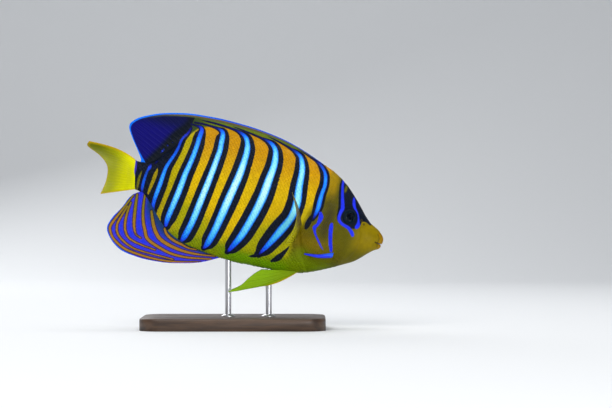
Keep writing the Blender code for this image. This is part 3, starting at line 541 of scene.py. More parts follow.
def set_field(mesh, name, values):
    """Writes a number or a colour for each point of a mesh."""
    kind, part = ("FLOAT", "value") if values.ndim == 1 else ("FLOAT_COLOR", "color")
    if values.ndim > 1:
        values = np.concatenate([values, np.ones((len(values), 1))], axis=1)
    mesh.attributes.new(name, kind, "POINT").data.foreach_set(part, values.astype(np.float32).ravel())


def paint(mesh, marks):
    ground, dark, line, colour = marks
    set_field(mesh, "ground", ground)
    set_field(mesh, "line_colour", colour)
    set_field(mesh, "dark_edge", np.clip(dark, -EDGE_LIMIT, EDGE_LIMIT))
    set_field(mesh, "line_edge", np.clip(line, -EDGE_LIMIT, EDGE_LIMIT))


def points_of(mesh):
    found = np.empty(len(mesh.vertices) * 3, np.float32)
    mesh.vertices.foreach_get("co", found)
    return found.reshape(-1, 3).astype(float)


def move_points(mesh, points):
    mesh.vertices.foreach_set("co", points.astype(np.float32).ravel())
    mesh.update()


# Paint for everything that is marked. A group reads the fields, wavers each edge a little as scales do, and
# gives the colour. The skins, scales and fins add their own roughness and relief to it.
EDGE_SOFTNESS = 0.22


def add_node(tree, kind, inputs=(), output=0, **settings):
    """Adds a node, with its settings and with its inputs linked or set, and returns one of its outputs."""
    made = tree.nodes.new("ShaderNode" + kind)
    for name, value in settings.items():
        setattr(made, name, value)
    for slot, value in dict(inputs).items():
        if isinstance(value, bpy.types.NodeSocket):
            tree.links.new(value, made.inputs[slot])
        elif made.inputs[slot].type == "RGBA":
            made.inputs[slot].default_value = (*value, 1)
        else:
            made.inputs[slot].default_value = value
    return made.outputs[output]


def math_node(tree, operation, *values, clamp=False):
    return add_node(tree, "Math", enumerate(values), operation=operation, use_clamp=clamp)


def mix_node(tree, share, first, second):
    return add_node(tree, "Mix", {0: share, 6: first, 7: second}, 2, data_type="RGBA")


def shaded(tree, colour, share):
    return add_node(tree, "VectorMath", {0: colour, "Scale": share}, operation="SCALE")


def attribute(tree, name, output="Fac"):
    return add_node(tree, "Attribute", output=output, attribute_name=name)


def own_place(tree):
    return add_node(tree, "TexCoord", output="Object")


def noise(tree, scale, detail=3.0, roughness=0.5):
    """Noise over the piece's own coordinates, with its scale in waves for each metre."""
    inputs = {"Vector": own_place(tree), "Scale": scale, "Detail": detail, "Roughness": roughness}
    return add_node(tree, "TexNoise", inputs, "Fac")


def remap(tree, value, low, high, to_low=0.0, to_high=1.0):
    inputs = {"Value": value, "From Min": low, "From Max": high, "To Min": to_low, "To Max": to_high}
    return add_node(tree, "MapRange", inputs, "Result", interpolation_type="SMOOTHSTEP")


def link_shader(material, slot, value):
    material.node_tree.links.new(value, material.node_tree.nodes["Principled BSDF"].inputs[slot])


def add_bump(material, height, distance, strength):
    inputs = {"Strength": strength, "Distance": distance, "Height": height}
    link_shader(material, "Normal", add_node(material.node_tree, "Bump", inputs))


def paint_group():
    """Fish paint: ground colour, then the black, then the lines, with soft mottling of each."""
    group = bpy.data.node_groups.new("fish paint", "ShaderNodeTree")
    for name in ("Waver", "Mottle"):
        group.interface.new_socket(name, in_out="INPUT", socket_type="NodeSocketFloat")
    group.interface.new_socket("Colour", in_out="OUTPUT", socket_type="NodeSocketColor")
    given = group.nodes.new("NodeGroupInput").outputs
    shake = math_node(group, "SUBTRACT", noise(group, 900, 2), 0.5)
    shake = math_node(group, "MULTIPLY", shake, given["Waver"])

    def mask(field):
        edge = math_node(group, "ADD", attribute(group, field), shake)
        share = math_node(group, "DIVIDE", edge, EDGE_SOFTNESS)
        return math_node(group, "MULTIPLY_ADD", share, -0.5, 0.5, clamp=True)

    mottle = remap(group, noise(group, 260, 4, 0.6), 0.25, 0.75, 0.62, 1.12)
    mottle = math_node(group, "SUBTRACT", mottle, 1)
    mottle = math_node(group, "MULTIPLY_ADD", mottle, given["Mottle"], 1)
    black = mix_node(group, remap(group, noise(group, 500, 3), 0.4, 0.8, 0, 0.4), BLACK, BLUE_BLACK)
    painted = shaded(group, attribute(group, "ground", "Color"), mottle)
    painted = mix_node(group, mask("dark_edge"), painted, black)
    painted = mix_node(group, mask("line_edge"), painted, attribute(group, "line_colour", "Color"))
    group.links.new(painted, group.nodes.new("NodeGroupOutput").inputs["Colour"])
    return group


FISH_PAINT = paint_group()


def painted_material(name, roughness, waver=0.25, mottle=0.25, coat=0.02, shade=None):
    """Paint on a skin, scale or fin. If given, shade(tree) gives a number that dims or lights it."""
    made = new_material(name, {"Roughness": roughness, "Coat Weight": coat, "Coat Roughness": 0.25,
                               "Specular IOR Level": 0.08})
    tree = made.node_tree
    colour = add_node(tree, "Group", {"Waver": waver, "Mottle": mottle}, "Colour", node_tree=FISH_PAINT)
    link_shader(made, "Base Color", shaded(tree, colour, shade(tree)) if shade else colour)
    return made


# Skin. One closed skin runs over the head, trunk and tail stalk, from the root of the tail fin over the lips
# and into the mouth. It has no seams, and lies just inside the solids where scales cover it.
SKIN_RINGS, SNOUT_RINGS, SKIN_AROUND = 200, 60, 144
SKIN_DEPTH = 0.12


def face_outward(bm):
    bmesh.ops.recalc_face_normals(bm, faces=bm.faces[:])
    if bm.calc_volume(signed=True) < 0:
        bmesh.ops.reverse_faces(bm, faces=bm.faces[:])


def rolled_tube(rings, around, place):
    """A grid rolled into a tube: place(ring share, angle) gives level points. Its ends are filled."""
    bm = bmesh.new()
    bmesh.ops.create_grid(bm, x_segments=rings, y_segments=around, size=1)
    flat = np.array([vert.co[:2] for vert in bm.verts])
    turn = np.round((flat[:, 1] + 1) / 2 * around) % around
    for vert, point in zip(bm.verts, place((flat[:, 0] + 1) / 2, 2 * math.pi * turn / around)):
        vert.co = point
    bmesh.ops.remove_doubles(bm, verts=bm.verts[:], dist=0.002)
    bmesh.ops.holes_fill(bm, edges=[edge for edge in bm.edges if edge.is_boundary], sides=0)
    face_outward(bm)
    return bm


def skin_place(share, angle):
    ring = share * (SKIN_RINGS + SNOUT_RINGS)
    along = BODY_END + (SNOUT_START - BODY_END) * np.clip(ring / SKIN_RINGS, 0, 1)
    turns = SNOUT[-1][0] * np.clip((ring - SKIN_RINGS) / SNOUT_RINGS, 0, 1)
    body = body_point(along, angle, -SKIN_DEPTH * ease((148 - along) / 12))
    return np.where((ring > SKIN_RINGS)[:, None], snout_point(turns, angle), body)


skin_paint = painted_material("fish skin", 0.48, mottle=0.4)
skin_tree = skin_paint.node_tree
grains = add_node(skin_tree, "TexVoronoi", {"Scale": 900, "Vector": own_place(skin_tree)}, "Distance")
skin_height = math_node(skin_tree, "MULTIPLY_ADD", grains, 0.7, noise(skin_tree, 2600, 2))
add_bump(skin_paint, skin_height, 0.00012, 0.8)
skin = keep(rolled_tube(SKIN_RINGS + SNOUT_RINGS, SKIN_AROUND, skin_place), "skin", skin_paint)
skin_points = points_of(skin.data)
paint(skin.data, body_marks(skin_points[:, 0], skin_points[:, 2]))
move_points(skin.data, placed(skin_points))
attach(skin, "root")
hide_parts("head", "trunk", "tail_stalk")

# Scales. Each is a thin horny plate, rooted forward under the one before and free behind, in rows that lie
# like roof tiles over the trunk and stalk and, much smaller, over the cheeks, gill covers and nape.
GILL_CUT = (
    (-50, 134), (-36, 127), (-29, 122), (-21, 116.6), (-12, 113.2), (-4, 112.3), (6, 113.6), (15, 116.8),
    (28, 120.6), (38, 123.4), (50, 127),
)
SCALE_WIDTHS = ((0, 0.7), (0.35, 1), (0.6, 0.97), (0.82, 0.74), (1, 0.3))
TRUNK_SCALE = {"length": 3.5, "height": 2.75, "shown": 2.5, "steps": (4, 4)}
HEAD_SCALE = {"length": 1.9, "height": 1.55, "shown": 1.35, "steps": (3, 2)}
SCALE_ROOT, SCALE_TIP, SCALE_CROWN, SCALE_EDGE = -0.17, 0.1, 0.07, 0.06  # heights on a scale 3.4 mm long
SCALE_CHANCE = ((1, 0.05), (0, 0.012), (0, 0.04), (1, 0.04))  # size, lift, skew and tone: middle and spread
SCALE_PATCH = 0.003  # how much of the bake map each scale takes
MIDDLE_X = 62  # the front and rear scales of a side part here
SIDES = ((-1, "right"), (1, "left"))
dice = np.random.default_rng(12)


def flat_plate(columns, rows):
    """A closed plate from -1 to 1 in x and y, with its upper face at z 0."""
    bm = bmesh.new()
    bmesh.ops.create_grid(bm, x_segments=columns, y_segments=rows, size=1)
    bmesh.ops.solidify(bm, geom=bm.faces[:], thickness=1)
    return bm


def scale_template(side, steps):
    """One scale: x from root 0 to tip 1, y across from -1 to 1, z 1 on the upper face and 0 on the lower."""
    bm = flat_plate(*steps)
    layer = bm.loops.layers.uv.new("OFBake")
    for vert in bm.verts:
        vert.co = ((vert.co.x + 1) / 2, vert.co.y, 1 if abs(vert.co.z) < 0.5 else 0)
    bmesh.ops.recalc_face_normals(bm, faces=bm.faces[:])
    for face in bm.faces:
        for loop in face.loops:
            loop[layer].uv = (loop.vert.co.x, loop.vert.co.y / 2)
    if side > 0:
        bmesh.ops.reverse_faces(bm, faces=bm.faces[:])
    return bm


def copies_of(template, count, name, finish):
    """An object of many joined copies of a template, one after another, still lying on one another."""
    obj = keep(template, name, finish)
    array = obj.modifiers.new("copies", "ARRAY")
    array.count, array.use_relative_offset, array.use_merge_vertices = count, False, False
    bpy.context.view_layer.update()
    graph = bpy.context.evaluated_depsgraph_get()
    obj.data = bpy.data.meshes.new_from_object(obj.evaluated_get(graph))
    obj.modifiers.clear()
    return obj


def scale_roots(first_x, last_x, kind, wanted):
    """Places of scale roots in staggered rows: along the body and the angle round it, for one side."""
    angles = np.linspace(0.001, math.pi - 0.001, 240)
    pitch = kind["height"]
    found = []
    for column, along in enumerate(np.arange(first_x, last_x, kind["shown"] / 2)):
        ring = body_point(np.full(angles.shape, along), angles)
        round_it = np.concatenate([[0], np.cumsum(np.linalg.norm(np.diff(ring[:, 1:], axis=0), axis=1))])
        round_it -= np.interp(math.pi / 2, angles, round_it)
        rows = np.arange(-60, 60) * pitch + (column % 2) * pitch / 2
        rows = rows[(rows > round_it[0] + pitch * 0.3) & (rows < round_it[-1] - pitch * 0.3)]
        angle = np.interp(rows, round_it, angles)
        place = body_point(np.full(angle.shape, along), angle)
        chosen = wanted(place[:, 0], place[:, 2])
        found.append(np.column_stack([np.full(chosen.sum(), along), angle[chosen]]))
    return np.concatenate(found)


def unit(vectors):
    return vectors / np.linalg.norm(vectors, axis=-1, keepdims=True)


def lay_scales(name, side, roots, kind):
    """Sets a scale at each root, following the curve of the skin, with its marks and its bake map."""
    length, height = kind["length"], kind["height"]
    obj = copies_of(scale_template(side, kind["steps"]), len(roots), name, scale_paint)
    u, v, upper = np.moveaxis(points_of(obj.data).reshape(len(roots), -1, 3), -1, 0)
    grown, lifted, skewed, tone = (dice.normal(*chance, len(roots))[:, None] for chance in SCALE_CHANCE)
    along, angle = roots[:, :1], roots[:, 1:]
    step = 0.02
    round_step = (body_point(along, angle + step) - body_point(along, angle - step)) / (2 * step)
    width = smooth(SCALE_WIDTHS, u)[0] * v
    run = along - (u + skewed * v) * length * grown
    swing = angle + width * height / 2 * grown / np.linalg.norm(round_step, axis=-1)
    ahead = body_point(run + 0.2, swing) - body_point(run - 0.2, swing)
    around = body_point(run, swing + step) - body_point(run, swing - step)
    normal = unit(np.cross(ahead, around))
    normal *= np.sign(normal[..., 1:2])
    size = length / 3.4
    lift = (SCALE_ROOT + (SCALE_TIP - SCALE_ROOT) * u - SCALE_CROWN * v * v) * size + lifted
    lift -= np.where(upper > 0.5, 0, SCALE_EDGE * size)
    points = body_point(run, swing) + normal * lift[..., None]
    marks = body_marks(points[..., 0], points[..., 2])
    paint(obj.data, [field.reshape(-1, *field.shape[2:]) for field in marks])
    set_field(obj.data, "rim", np.clip(np.maximum(u**3, np.abs(v)**4), 0, 1).ravel())
    set_field(obj.data, "tone", (tone + 0 * u).ravel())
    points[..., 1] *= side
    move_points(obj.data, placed(points).reshape(-1, 3))
    layer = obj.data.uv_layers["OFBake"].data
    spread = np.empty(len(layer) * 2, np.float32)
    layer.foreach_get("uv", spread)
    spread = spread.reshape(len(roots), -1, 2) * SCALE_PATCH
    half_turns = roots[:, 1] / math.pi * 2 - 1
    map_y = (0.25 if side > 0 else 0.75) + 0.22 * half_turns
    corner = np.column_stack([0.03 + 0.9 * roots[:, 0] / 170, map_y])
    layer.foreach_set("uv", (spread + corner[:, None]).astype(np.float32).ravel())
    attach(obj, "root")


def scale_shade(tree):
    rim = remap(tree, attribute(tree, "rim"), 0.25, 1, 1.01, 0.94)
    return math_node(tree, "MULTIPLY", rim, attribute(tree, "tone"))


def on_trunk(x, z):
    return x < smooth(GILL_CUT, z)[0] - 0.4 + 2.3 * (ease((z - 8) / 6) + ease((-20 - z) / 5))


def on_head(x, z):
    behind_snout = x < 149 - 0.25 * np.abs(z + 3)
    off_eye = np.hypot(x - EYE[0], z - EYE[1]) > EYE_RADIUS + 2.2
    return (x > smooth(GILL_CUT, z)[0] + 2.2) & behind_snout & off_eye


scale_paint = painted_material("fish scales", 0.45, waver=0.4, mottle=0.28, shade=scale_shade)
add_bump(scale_paint, noise(scale_paint.node_tree, 3000, 2), 0.00004, 0.6)
trunk_roots = scale_roots(4.2, 131, TRUNK_SCALE, on_trunk)
head_roots = scale_roots(113, 150, HEAD_SCALE, on_head)
ahead_of_middle = trunk_roots[:, 0] > MIDDLE_X
for side, word in SIDES:
    lay_scales(f"scales_front_{word}", side, trunk_roots[ahead_of_middle], TRUNK_SCALE)
    lay_scales(f"scales_rear_{word}", side, trunk_roots[~ahead_of_middle], TRUNK_SCALE)
    lay_scales(f"scales_head_{word}", side, head_roots, HEAD_SCALE)

# Eyes. Each is a turned ball with a sunk pupil and a flecked iris, under a clear cornea, set into the side
# of the head and facing the way that the skin faces there.
EYE_PROUD = 1.2
# radius, and height over the ball's seat, in millimetres
EYE_PROFILE = (
    (0, -1.25), (1.4, -1.2), (2.2, -1), (2.5, -0.62), (2.68, -0.42), (3.2, -0.46), (3.9, -0.62),
    (4.5, -0.95), (4.85, -1.6), (4.8, -2.6), (4.1, -3.9), (2.4, -5), (0, -5.5),
)
CORNEA_PROFILE = ((0, 0), (1.3, -0.06), (2.5, -0.22), (3.5, -0.5), (4.25, -0.92), (4.62, -1.4))
CORNEA_WALL, PROFILE_STEPS = 0.12, 4
IRIS_DARK, IRIS_FLECK, IRIS_RING = (0.002, 0.009, 0.02), (0.006, 0.02, 0.03), (0.012, 0.02, 0.024)
PUPIL, EYE_RIM = (0.001, 0.005, 0.013), (0.003, 0.006, 0.014)


def spun(outline, steps, closed=False):
    """An outline of radius and height, spun once round z."""
    bm = bmesh.new()
    verts = [bm.verts.new((max(0, radius), 0, height)) for radius, height in outline]
    ends = verts[1:] + verts[:1] if closed else verts[1:]
    edges = [bm.edges.new(pair) for pair in zip(verts, ends)]
    bmesh.ops.spin(bm, geom=verts + edges, cent=(0, 0, 0), axis=(0, 0, 1), angle=2 * math.pi, steps=steps,
                   use_merge=True)
    bmesh.ops.remove_doubles(bm, verts=bm.verts[:], dist=1e-4)
    bmesh.ops.recalc_face_normals(bm, faces=bm.faces[:])
    return bm


def side_facing(x, z, step=0.5):
    """How far out the right side of the head lies at a place, and the way that it faces there."""
    near_x, near_z = x + step * np.array([0, 1, -1, 0, 0]), z + step * np.array([0, 0, 0, 1, -1])
    out, ahead, behind, above, below = side_at(near_x, near_z)
    return out, Vector((behind - ahead, -2 * step, below - above)).normalized()


def set_on_head(bm, name, side, spot, proud, finish):
    """Sets a turned piece on the side of the head, its axis along the way that the skin faces."""
    bmesh.ops.recalc_face_normals(bm, faces=bm.faces[:])
    if side > 0:
        bmesh.ops.reverse_faces(bm, faces=bm.faces[:])
    obj = keep(bm, name, finish)
    points = points_of(obj.data)
    set_field(obj.data, "from_axis", np.hypot(points[:, 0], points[:, 1]))
    out, facing = side_facing(*spot)
    turn = np.array(facing.to_track_quat("Z", "Y").to_matrix())
    level = points @ turn.T + np.array([spot[0], -out, spot[1]]) + np.array(facing) * proud
    level[:, 1] *= -side
    move_points(obj.data, placed(level))
    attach(obj, "root")
    return obj


iris_paint = new_material("iris", {"Roughness": 0.35, "Specular IOR Level": 0.05})
iris_tree = iris_paint.node_tree
from_axis = attribute(iris_tree, "from_axis")
flecks = remap(iris_tree, noise(iris_tree, 1500, 5, 0.7), 0.5, 0.72)
flecks = math_node(iris_tree, "MULTIPLY", flecks, remap(iris_tree, from_axis, 2.6, 4.6, 1, 0.1))
ring = remap(iris_tree, from_axis, 2.5, 2.7)
ring = math_node(iris_tree, "MULTIPLY", ring, remap(iris_tree, from_axis, 2.8, 3.2, 1, 0))
iris = mix_node(iris_tree, flecks, IRIS_DARK, IRIS_FLECK)
iris = mix_node(iris_tree, math_node(iris_tree, "MULTIPLY", ring, 0.35), iris, IRIS_RING)
iris = mix_node(iris_tree, remap(iris_tree, from_axis, 2.4, 2.6, 1, 0), iris, PUPIL)
iris = mix_node(iris_tree, remap(iris_tree, from_axis, 4.35, 4.7), iris, EYE_RIM)
link_shader(iris_paint, "Base Color", iris)
cornea_clear = new_material("clear cornea", {"Base Color": (1, 1, 1, 1), "Roughness": 0.02,
                                             "Transmission Weight": 1, "IOR": 1.1})
for side, word in SIDES:
    ball = spun(drawn(EYE_PROFILE, PROFILE_STEPS).T, 48)
    ball = set_on_head(ball, f"eyeball_{word}", side, EYE, EYE_PROUD, iris_paint)
    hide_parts(f"eye_{word}")
    dome = spun(drawn(CORNEA_PROFILE, PROFILE_STEPS).T, 48)
    bmesh.ops.solidify(dome, geom=dome.faces[:], thickness=CORNEA_WALL)
    set_on_head(dome, f"cornea_{word}", side, EYE, EYE_PROUD, cornea_clear)

# Nostrils. Two small dark pits with raised rims stand on each side, before and below the eye. Their dark
# middles are painted shade, for the depth of the holes.
NOSTRILS = {"rear": (149.6, 9.6, 1), "front": (151.6, 7.6, 0.8)}
NOSTRIL_PROFILE = ((0, -0.35), (0.28, -0.3), (0.4, -0.05), (0.55, 0.14), (0.75, 0.1), (1, -0.12))
NOSTRIL_RIM, NOSTRIL_PIT_SHADE, NOSTRIL_PROUD = (0.05, 0.038, 0.003), (0.004, 0.004, 0.004), 0.05
nostril_paint = new_material("nostril", {"Roughness": 0.5, "Specular IOR Level": 0.1})
nostril_tree = nostril_paint.node_tree
# painted shade: near black in the middle of each rim, where the hole goes deep
pit_shade = remap(nostril_tree, attribute(nostril_tree, "from_axis"), 0.3, 0.5, 1, 0)
link_shader(nostril_paint, "Base Color", mix_node(nostril_tree, pit_shade, NOSTRIL_RIM, NOSTRIL_PIT_SHADE))
for side, word in SIDES:
    for row, (x, z, size) in NOSTRILS.items():
        rim = spun(drawn(NOSTRIL_PROFILE, PROFILE_STEPS).T, 24)
        bmesh.ops.scale(rim, verts=rim.verts[:], vec=(size, size, size))
        set_on_head(rim, f"nostril_{row}_{word}", side, (x, z), NOSTRIL_PROUD, nostril_paint)

# Fins. Each is one thin web, closed all round and stiffened by its rays, which stand up from both faces:
# stout spines in front and soft rays behind that fork twice towards the margin.
# where rays stand along the body, and x and z of their tips
DORSAL = (
    (1, 0.6, 11.3), (3, -0.7, 13), (7, -3.9, 17.4), (10.5, -9.5, 24.5), (14.5, -13.2, 31), (19.5, -10, 36.8),
    (26, 2, 43.3), (34, 18, 48), (46, 37, 50.4), (62, 55.5, 50.9), (80, 74, 49.9), (98, 92.5, 46.9),
    (112, 108, 42.2), (121.5, 121.3, 37),
)
ANAL = (
    (3.6, 1.4, -10.4), (5.5, -1.2, -14), (8.5, -4.3, -21.5), (12.5, -8.8, -29.5), (16.5, -10.6, -36.5),
    (21, -7, -42.8), (26, 1, -48.4), (32, 13, -50.4), (40, 28, -49.9), (50, 43, -47), (60, 57, -42.3),
    (66, 66.3, -37.2),
)
# how many spines or soft rays, and where the first and the last of them stand
DORSAL_SPINES, DORSAL_SOFT = (14, 119.5, 41), (18, 37.5, 3.2)
ANAL_SPINES, ANAL_SOFT = (3, 65, 56), (18, 52, 4.6)
WEB_HALF, SPINE_HALF, SOFT_HALF, MARGIN_HALF = 0.13, 0.55, 0.31, 0.08
SPINE_BREADTH, SOFT_BREADTH = 0.45, 0.3  # a ray's half breadth in its web, in millimetres
COLUMNS_A_RAY, FIN_ROWS = 10, 34
FIN_SINK = 0.7  # how deep a fin's root lies in the body


def ray_ridge(phase, outward, breadth, soft):
    """How high a ray stands at a place beside it, from 0 to 1. Soft rays fork twice towards the margin."""
    breadth = breadth * (1 - 0.5 * outward)
    first = np.where(soft, 0.2 * ease((outward - 0.42) / 0.3), 0)
    second = np.where(soft, 0.09 * ease((outward - 0.7) / 0.25), 0)
    ridge = np.zeros(phase.shape)
    for one, two in ((-1, -1), (-1, 1), (1, -1), (1, 1)):
        ridge = np.maximum(ridge, np.exp(-((phase - one * first - two * second) / breadth) ** 2))
    return ridge


def fin_half(outward, ridge, ray_half, root_half, sunk):
    """Half a fin's thickness: fleshy at its root, then a web with ridges, thinning to its margin."""
    body = WEB_HALF + (ray_half - WEB_HALF) * ridge
    body = body + (MARGIN_HALF + 0.4 * (body - WEB_HALF) - body) * ease((outward - 0.25) / 0.75)
    return root_half + (body - root_half) * ease(outward / sunk)


def make_fin(node, columns, rows, shape, finish, slot, side=1):
    """A closed thin vane in place of a node. For places on both faces of a grid, shape(share across, share
    outward, face) gives level points, the height of the rays and the marks."""
    bm = flat_plate(columns, rows)
    across, outward, deep = np.array([vert.co[:] for vert in bm.verts]).T
    points, ridge, marks = shape((across + 1) / 2, (outward + 1) / 2, np.where(np.abs(deep) < 0.5, 1.0, -1.0))
    for vert, point in zip(bm.verts, points * np.array([1, side, 1])):
        vert.co = point
    face_outward(bm)
    obj = keep(bm, f"{node}_web", finish)
    paint(obj.data, marks)
    set_field(obj.data, "ridge", ridge)
    move_points(obj.data, placed(points_of(obj.data)))
    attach(obj, "root")
    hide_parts(node)


def median_fin(node, rays, spines, soft, edge_angle, marks, slot):
    """The dorsal or the anal fin, standing on the flat edge of the back or the belly."""
    places = [rays[-1][0], *np.linspace(*spines[1:], spines[0]), *np.linspace(*soft[1:], soft[0]), rays[0][0]]
    last = len(places) - 1
    spine_gap, soft_gap = (abs(kind[1] - kind[2]) / (kind[0] - 1) for kind in (spines, soft))

    def shape(share, outward, face):
        index = 0.4 + (last - 0.8) * share
        along = np.interp(index, np.arange(last + 1), places)
        root = body_point(along, np.full(along.shape, edge_angle), -FIN_SINK)
        tip_x, tip_z = smooth(rays, along)
        reach = np.stack([tip_x, 0 * tip_x, tip_z], -1) - root
        points = root + reach * outward[:, None]
        spiny = index < spines[0] + 0.5
        breadth = np.where(spiny, SPINE_BREADTH, SOFT_BREADTH) / np.where(spiny, spine_gap, soft_gap)
        ridge = ray_ridge(index - np.round(index), outward, breadth, ~spiny)
        half = fin_half(outward, ridge, np.where(spiny, SPINE_HALF, SOFT_HALF), RIDGE - 0.05, 0.22)
        points[:, 1] = face * half
        from_edge = (1 - outward) * np.linalg.norm(reach, axis=-1)
        return points, ridge, marks(points[:, 0], points[:, 2], outward, from_edge)

    make_fin(node, COLUMNS_A_RAY * last, FIN_ROWS, shape, fin_paint, slot)


def ray_shade(tree):
    return remap(tree, attribute(tree, "ridge"), 0, 1, 0.95, 1.05)


fin_paint = painted_material("fin web", 0.48, waver=0.2, mottle=0.15, shade=ray_shade)
add_bump(fin_paint, noise(fin_paint.node_tree, 2200, 3), 0.00005, 0.6)

# Dorsal fin. The band tops run back over it as fine lines between olive ones. Over them lie a grey-green and
# a brown strip and a blue margin, and behind the last band it is a navy lobe with a few blue spots.
# x, and how far in from the margin the strips reach
BROWN_EDGE = (
    (-12, 0.6), (0, 2.4), (10, 2.8), (30, 3.1), (50, 3.1), (70, 2.8), (85, 2.3), (100, 1.9), (108, 1.5),
    (113, 0.5), (122, -0.5),
)
BLUE_EDGE = ((-14, 1.3), (0, 1.3), (15, 1.3), (30, 1.3), (60, 1.1), (100, 0.9), (120, 0.6))
# the level over which all is olive, by x, and the place behind which all is navy, by z
OLIVE_EDGE = (
    (20, 32), (27, 35.6), (31, 40), (36, 42.8), (45, 45), (52, 45.7), (60, 46.3), (70, 46), (80, 45.2),
    (90, 44.3), (100, 42.4), (110, 40.2), (120, 37.6),
)
LOBE_EDGE = (
    (8, -1), (10, 1.5), (15, 5), (20, 8), (25, 11), (30, 13.5), (35, 16.5), (38, 19), (41, 22), (45, 24),
)
BROWN, GREY_GREEN = (0.17, 0.09, 0.03), (0.075, 0.1, 0.035)
LINE_OLIVE, DIM_OLIVE = (0.135, 0.19, 0.006), (0.035, 0.06, 0.014)
LOBE_NAVY, LOBE_DARK, LOBE_BLACK = (0.003, 0.002, 0.14), (0.002, 0.004, 0.055), (0.002, 0.005, 0.012)
MARGIN_BLUE, SPINY_BLUE = (0.0, 0.17, 0.95), (0.004, 0.09, 0.7)
LOBE_SPOTS = (
    (14.6, 25.2, 0.45), (12.9, 22, 0.45), (12.2, 20.8, 0.6), (11.6, 19.6, 0.4), (11.2, 14.4, 0.4),
    (10.6, 12.6, 0.65), (15.4, 30, 0.3), (17.2, 28, 0.25),
)
REAR_EDGE = (0, 12.1, 0.72, 0.69)  # a place on the dorsal fin's last ray, and the way forward across it


def dorsal_marks(x, z, outward, from_edge):
    ground, dark, blue, colour = body_marks(x, z)
    strip = from_edge - smooth(BROWN_EDGE, x)[0]
    rear = smooth(STALK_EDGE, z)[0] - 1.5 - x
    dark = np.where((strip < 0.1) | (rear > 0), FAR, dark)
    blue = np.where((strip < 0.2) | (rear > 0), FAR, blue)
    bright = ease((x - 29) / 12) * (1 - 0.25 * ease((x - 78) / 15) + 0.2 * ease((x - 93) / 6))
    olive = ease((2.4 - strip) / 1) + ease((z - smooth(OLIVE_EDGE, x)[0]) / 1.2 + 0.3)
    ground = mix(ground, mix(DIM_OLIVE, LINE_OLIVE, bright), olive)
    navy = mix(LOBE_NAVY, LOBE_DARK, ease((z - 33) / 9))
    lobe = mix(LOBE_BLACK, navy, ease((smooth(LOBE_EDGE, z)[0] - x + 1.5) / 5))
    ground = np.where((rear > -1.7)[:, None], lobe, ground)
    streaks = 0.5 + 0.5 * np.sin(1.7 * x + 3.1 * z)
    brown = mix(GREY_GREEN, BROWN, ease((-0.2 - strip) / 1.1) * (0.6 + 0.4 * streaks))
    brown = mix(lobe, brown, 0.25 * ease((z - 18) / 8) + 0.75 * ease((x + 4) / 26))
    ground = mix(ground, brown, ease(0.6 - strip / 0.7))
    for spot_x, spot_z, radius in LOBE_SPOTS:
        blue = np.minimum(blue, np.hypot(x - spot_x, z - spot_z) - radius)
    from_edge = np.minimum(from_edge, (x - REAR_EDGE[0]) * REAR_EDGE[2] + (z - REAR_EDGE[1]) * REAR_EDGE[3])
    margin = from_edge - smooth(BLUE_EDGE, x)[0]
    edge_colour = mix(MARGIN_BLUE, SPINY_BLUE, ease((x - 20) / 30))
    colour = np.where((margin < blue)[:, None], edge_colour, colour)
    return ground, dark, np.minimum(blue, margin), colour


median_fin("dorsal_fin", DORSAL, DORSAL_SPINES, DORSAL_SOFT, 0.0, dorsal_marks, "dark_fin")

# Anal fin. It is bright blue, with dark-edged orange lines that follow the margin round and swell midway.
ANAL_LINES = (
    # the greatest half width, then places along the line
    (0.78, (
        (1, -12), (-2, -19), (-5, -26), (-8, -33), (-8.5, -37), (-6, -41.5), (-2, -44.5), (5, -47.5),
        (15, -48.6), (25, -48.7), (35, -47.8), (45, -45.7), (55, -43.2),
    )),
    (0.72, ((-1, -20), (-4, -30), (-4.5, -34), (-3, -38.5), (1, -42), (8, -45), (15, -46), (37, -46))),
    (0.76, ((0.6, -17), (0, -24), (0.2, -30), (1.4, -35), (4, -38.8), (8, -40.9), (15, -42.2), (24, -43))),
    (0.95, ((3.3, -11), (4.4, -20), (5.7, -28), (7.2, -33), (9.3, -36.4), (12.8, -37.9))),
    (0.98, (
        (8.4, -10), (9.5, -19), (11.7, -27), (14.3, -32.4), (16.4, -36.4), (20, -38.7), (27, -41),
        (35, -42.7), (45, -42.5), (55, -40.7), (61, -39.6),
    )),
    (1.15, (
        (15.2, -19), (17, -23.5), (19.3, -28.4), (22, -32.3), (25.6, -35.4), (32, -37.6), (40, -38.9),
        (48, -39), (55, -38.3), (63, -37),
    )),
    (0.85, ((26.4, -28), (29, -31.3), (34, -33.9), (40, -35.2), (45, -36.3), (50, -36))),
)
LINE_TIP, LINE_TRIM, LINE_BORDER = 0.4, 0.04, 0.46  # half width at a line's ends, and of its paint and edge
ANAL_BLUE, ANAL_VIOLET, ANAL_ORANGE = (0.013, 0.034, 0.72), (0.08, 0.042, 0.58), (0.36, 0.165, 0.015)
# the first two are painted shade near the body: navy towards the front and olive further back
ANAL_ROOT_SHADE, ANAL_ROOT_OLIVE_SHADE, ANAL_TAN = (0.01, 0.04, 0.13), (0.02, 0.05, 0.02), (0.22, 0.16, 0.008)


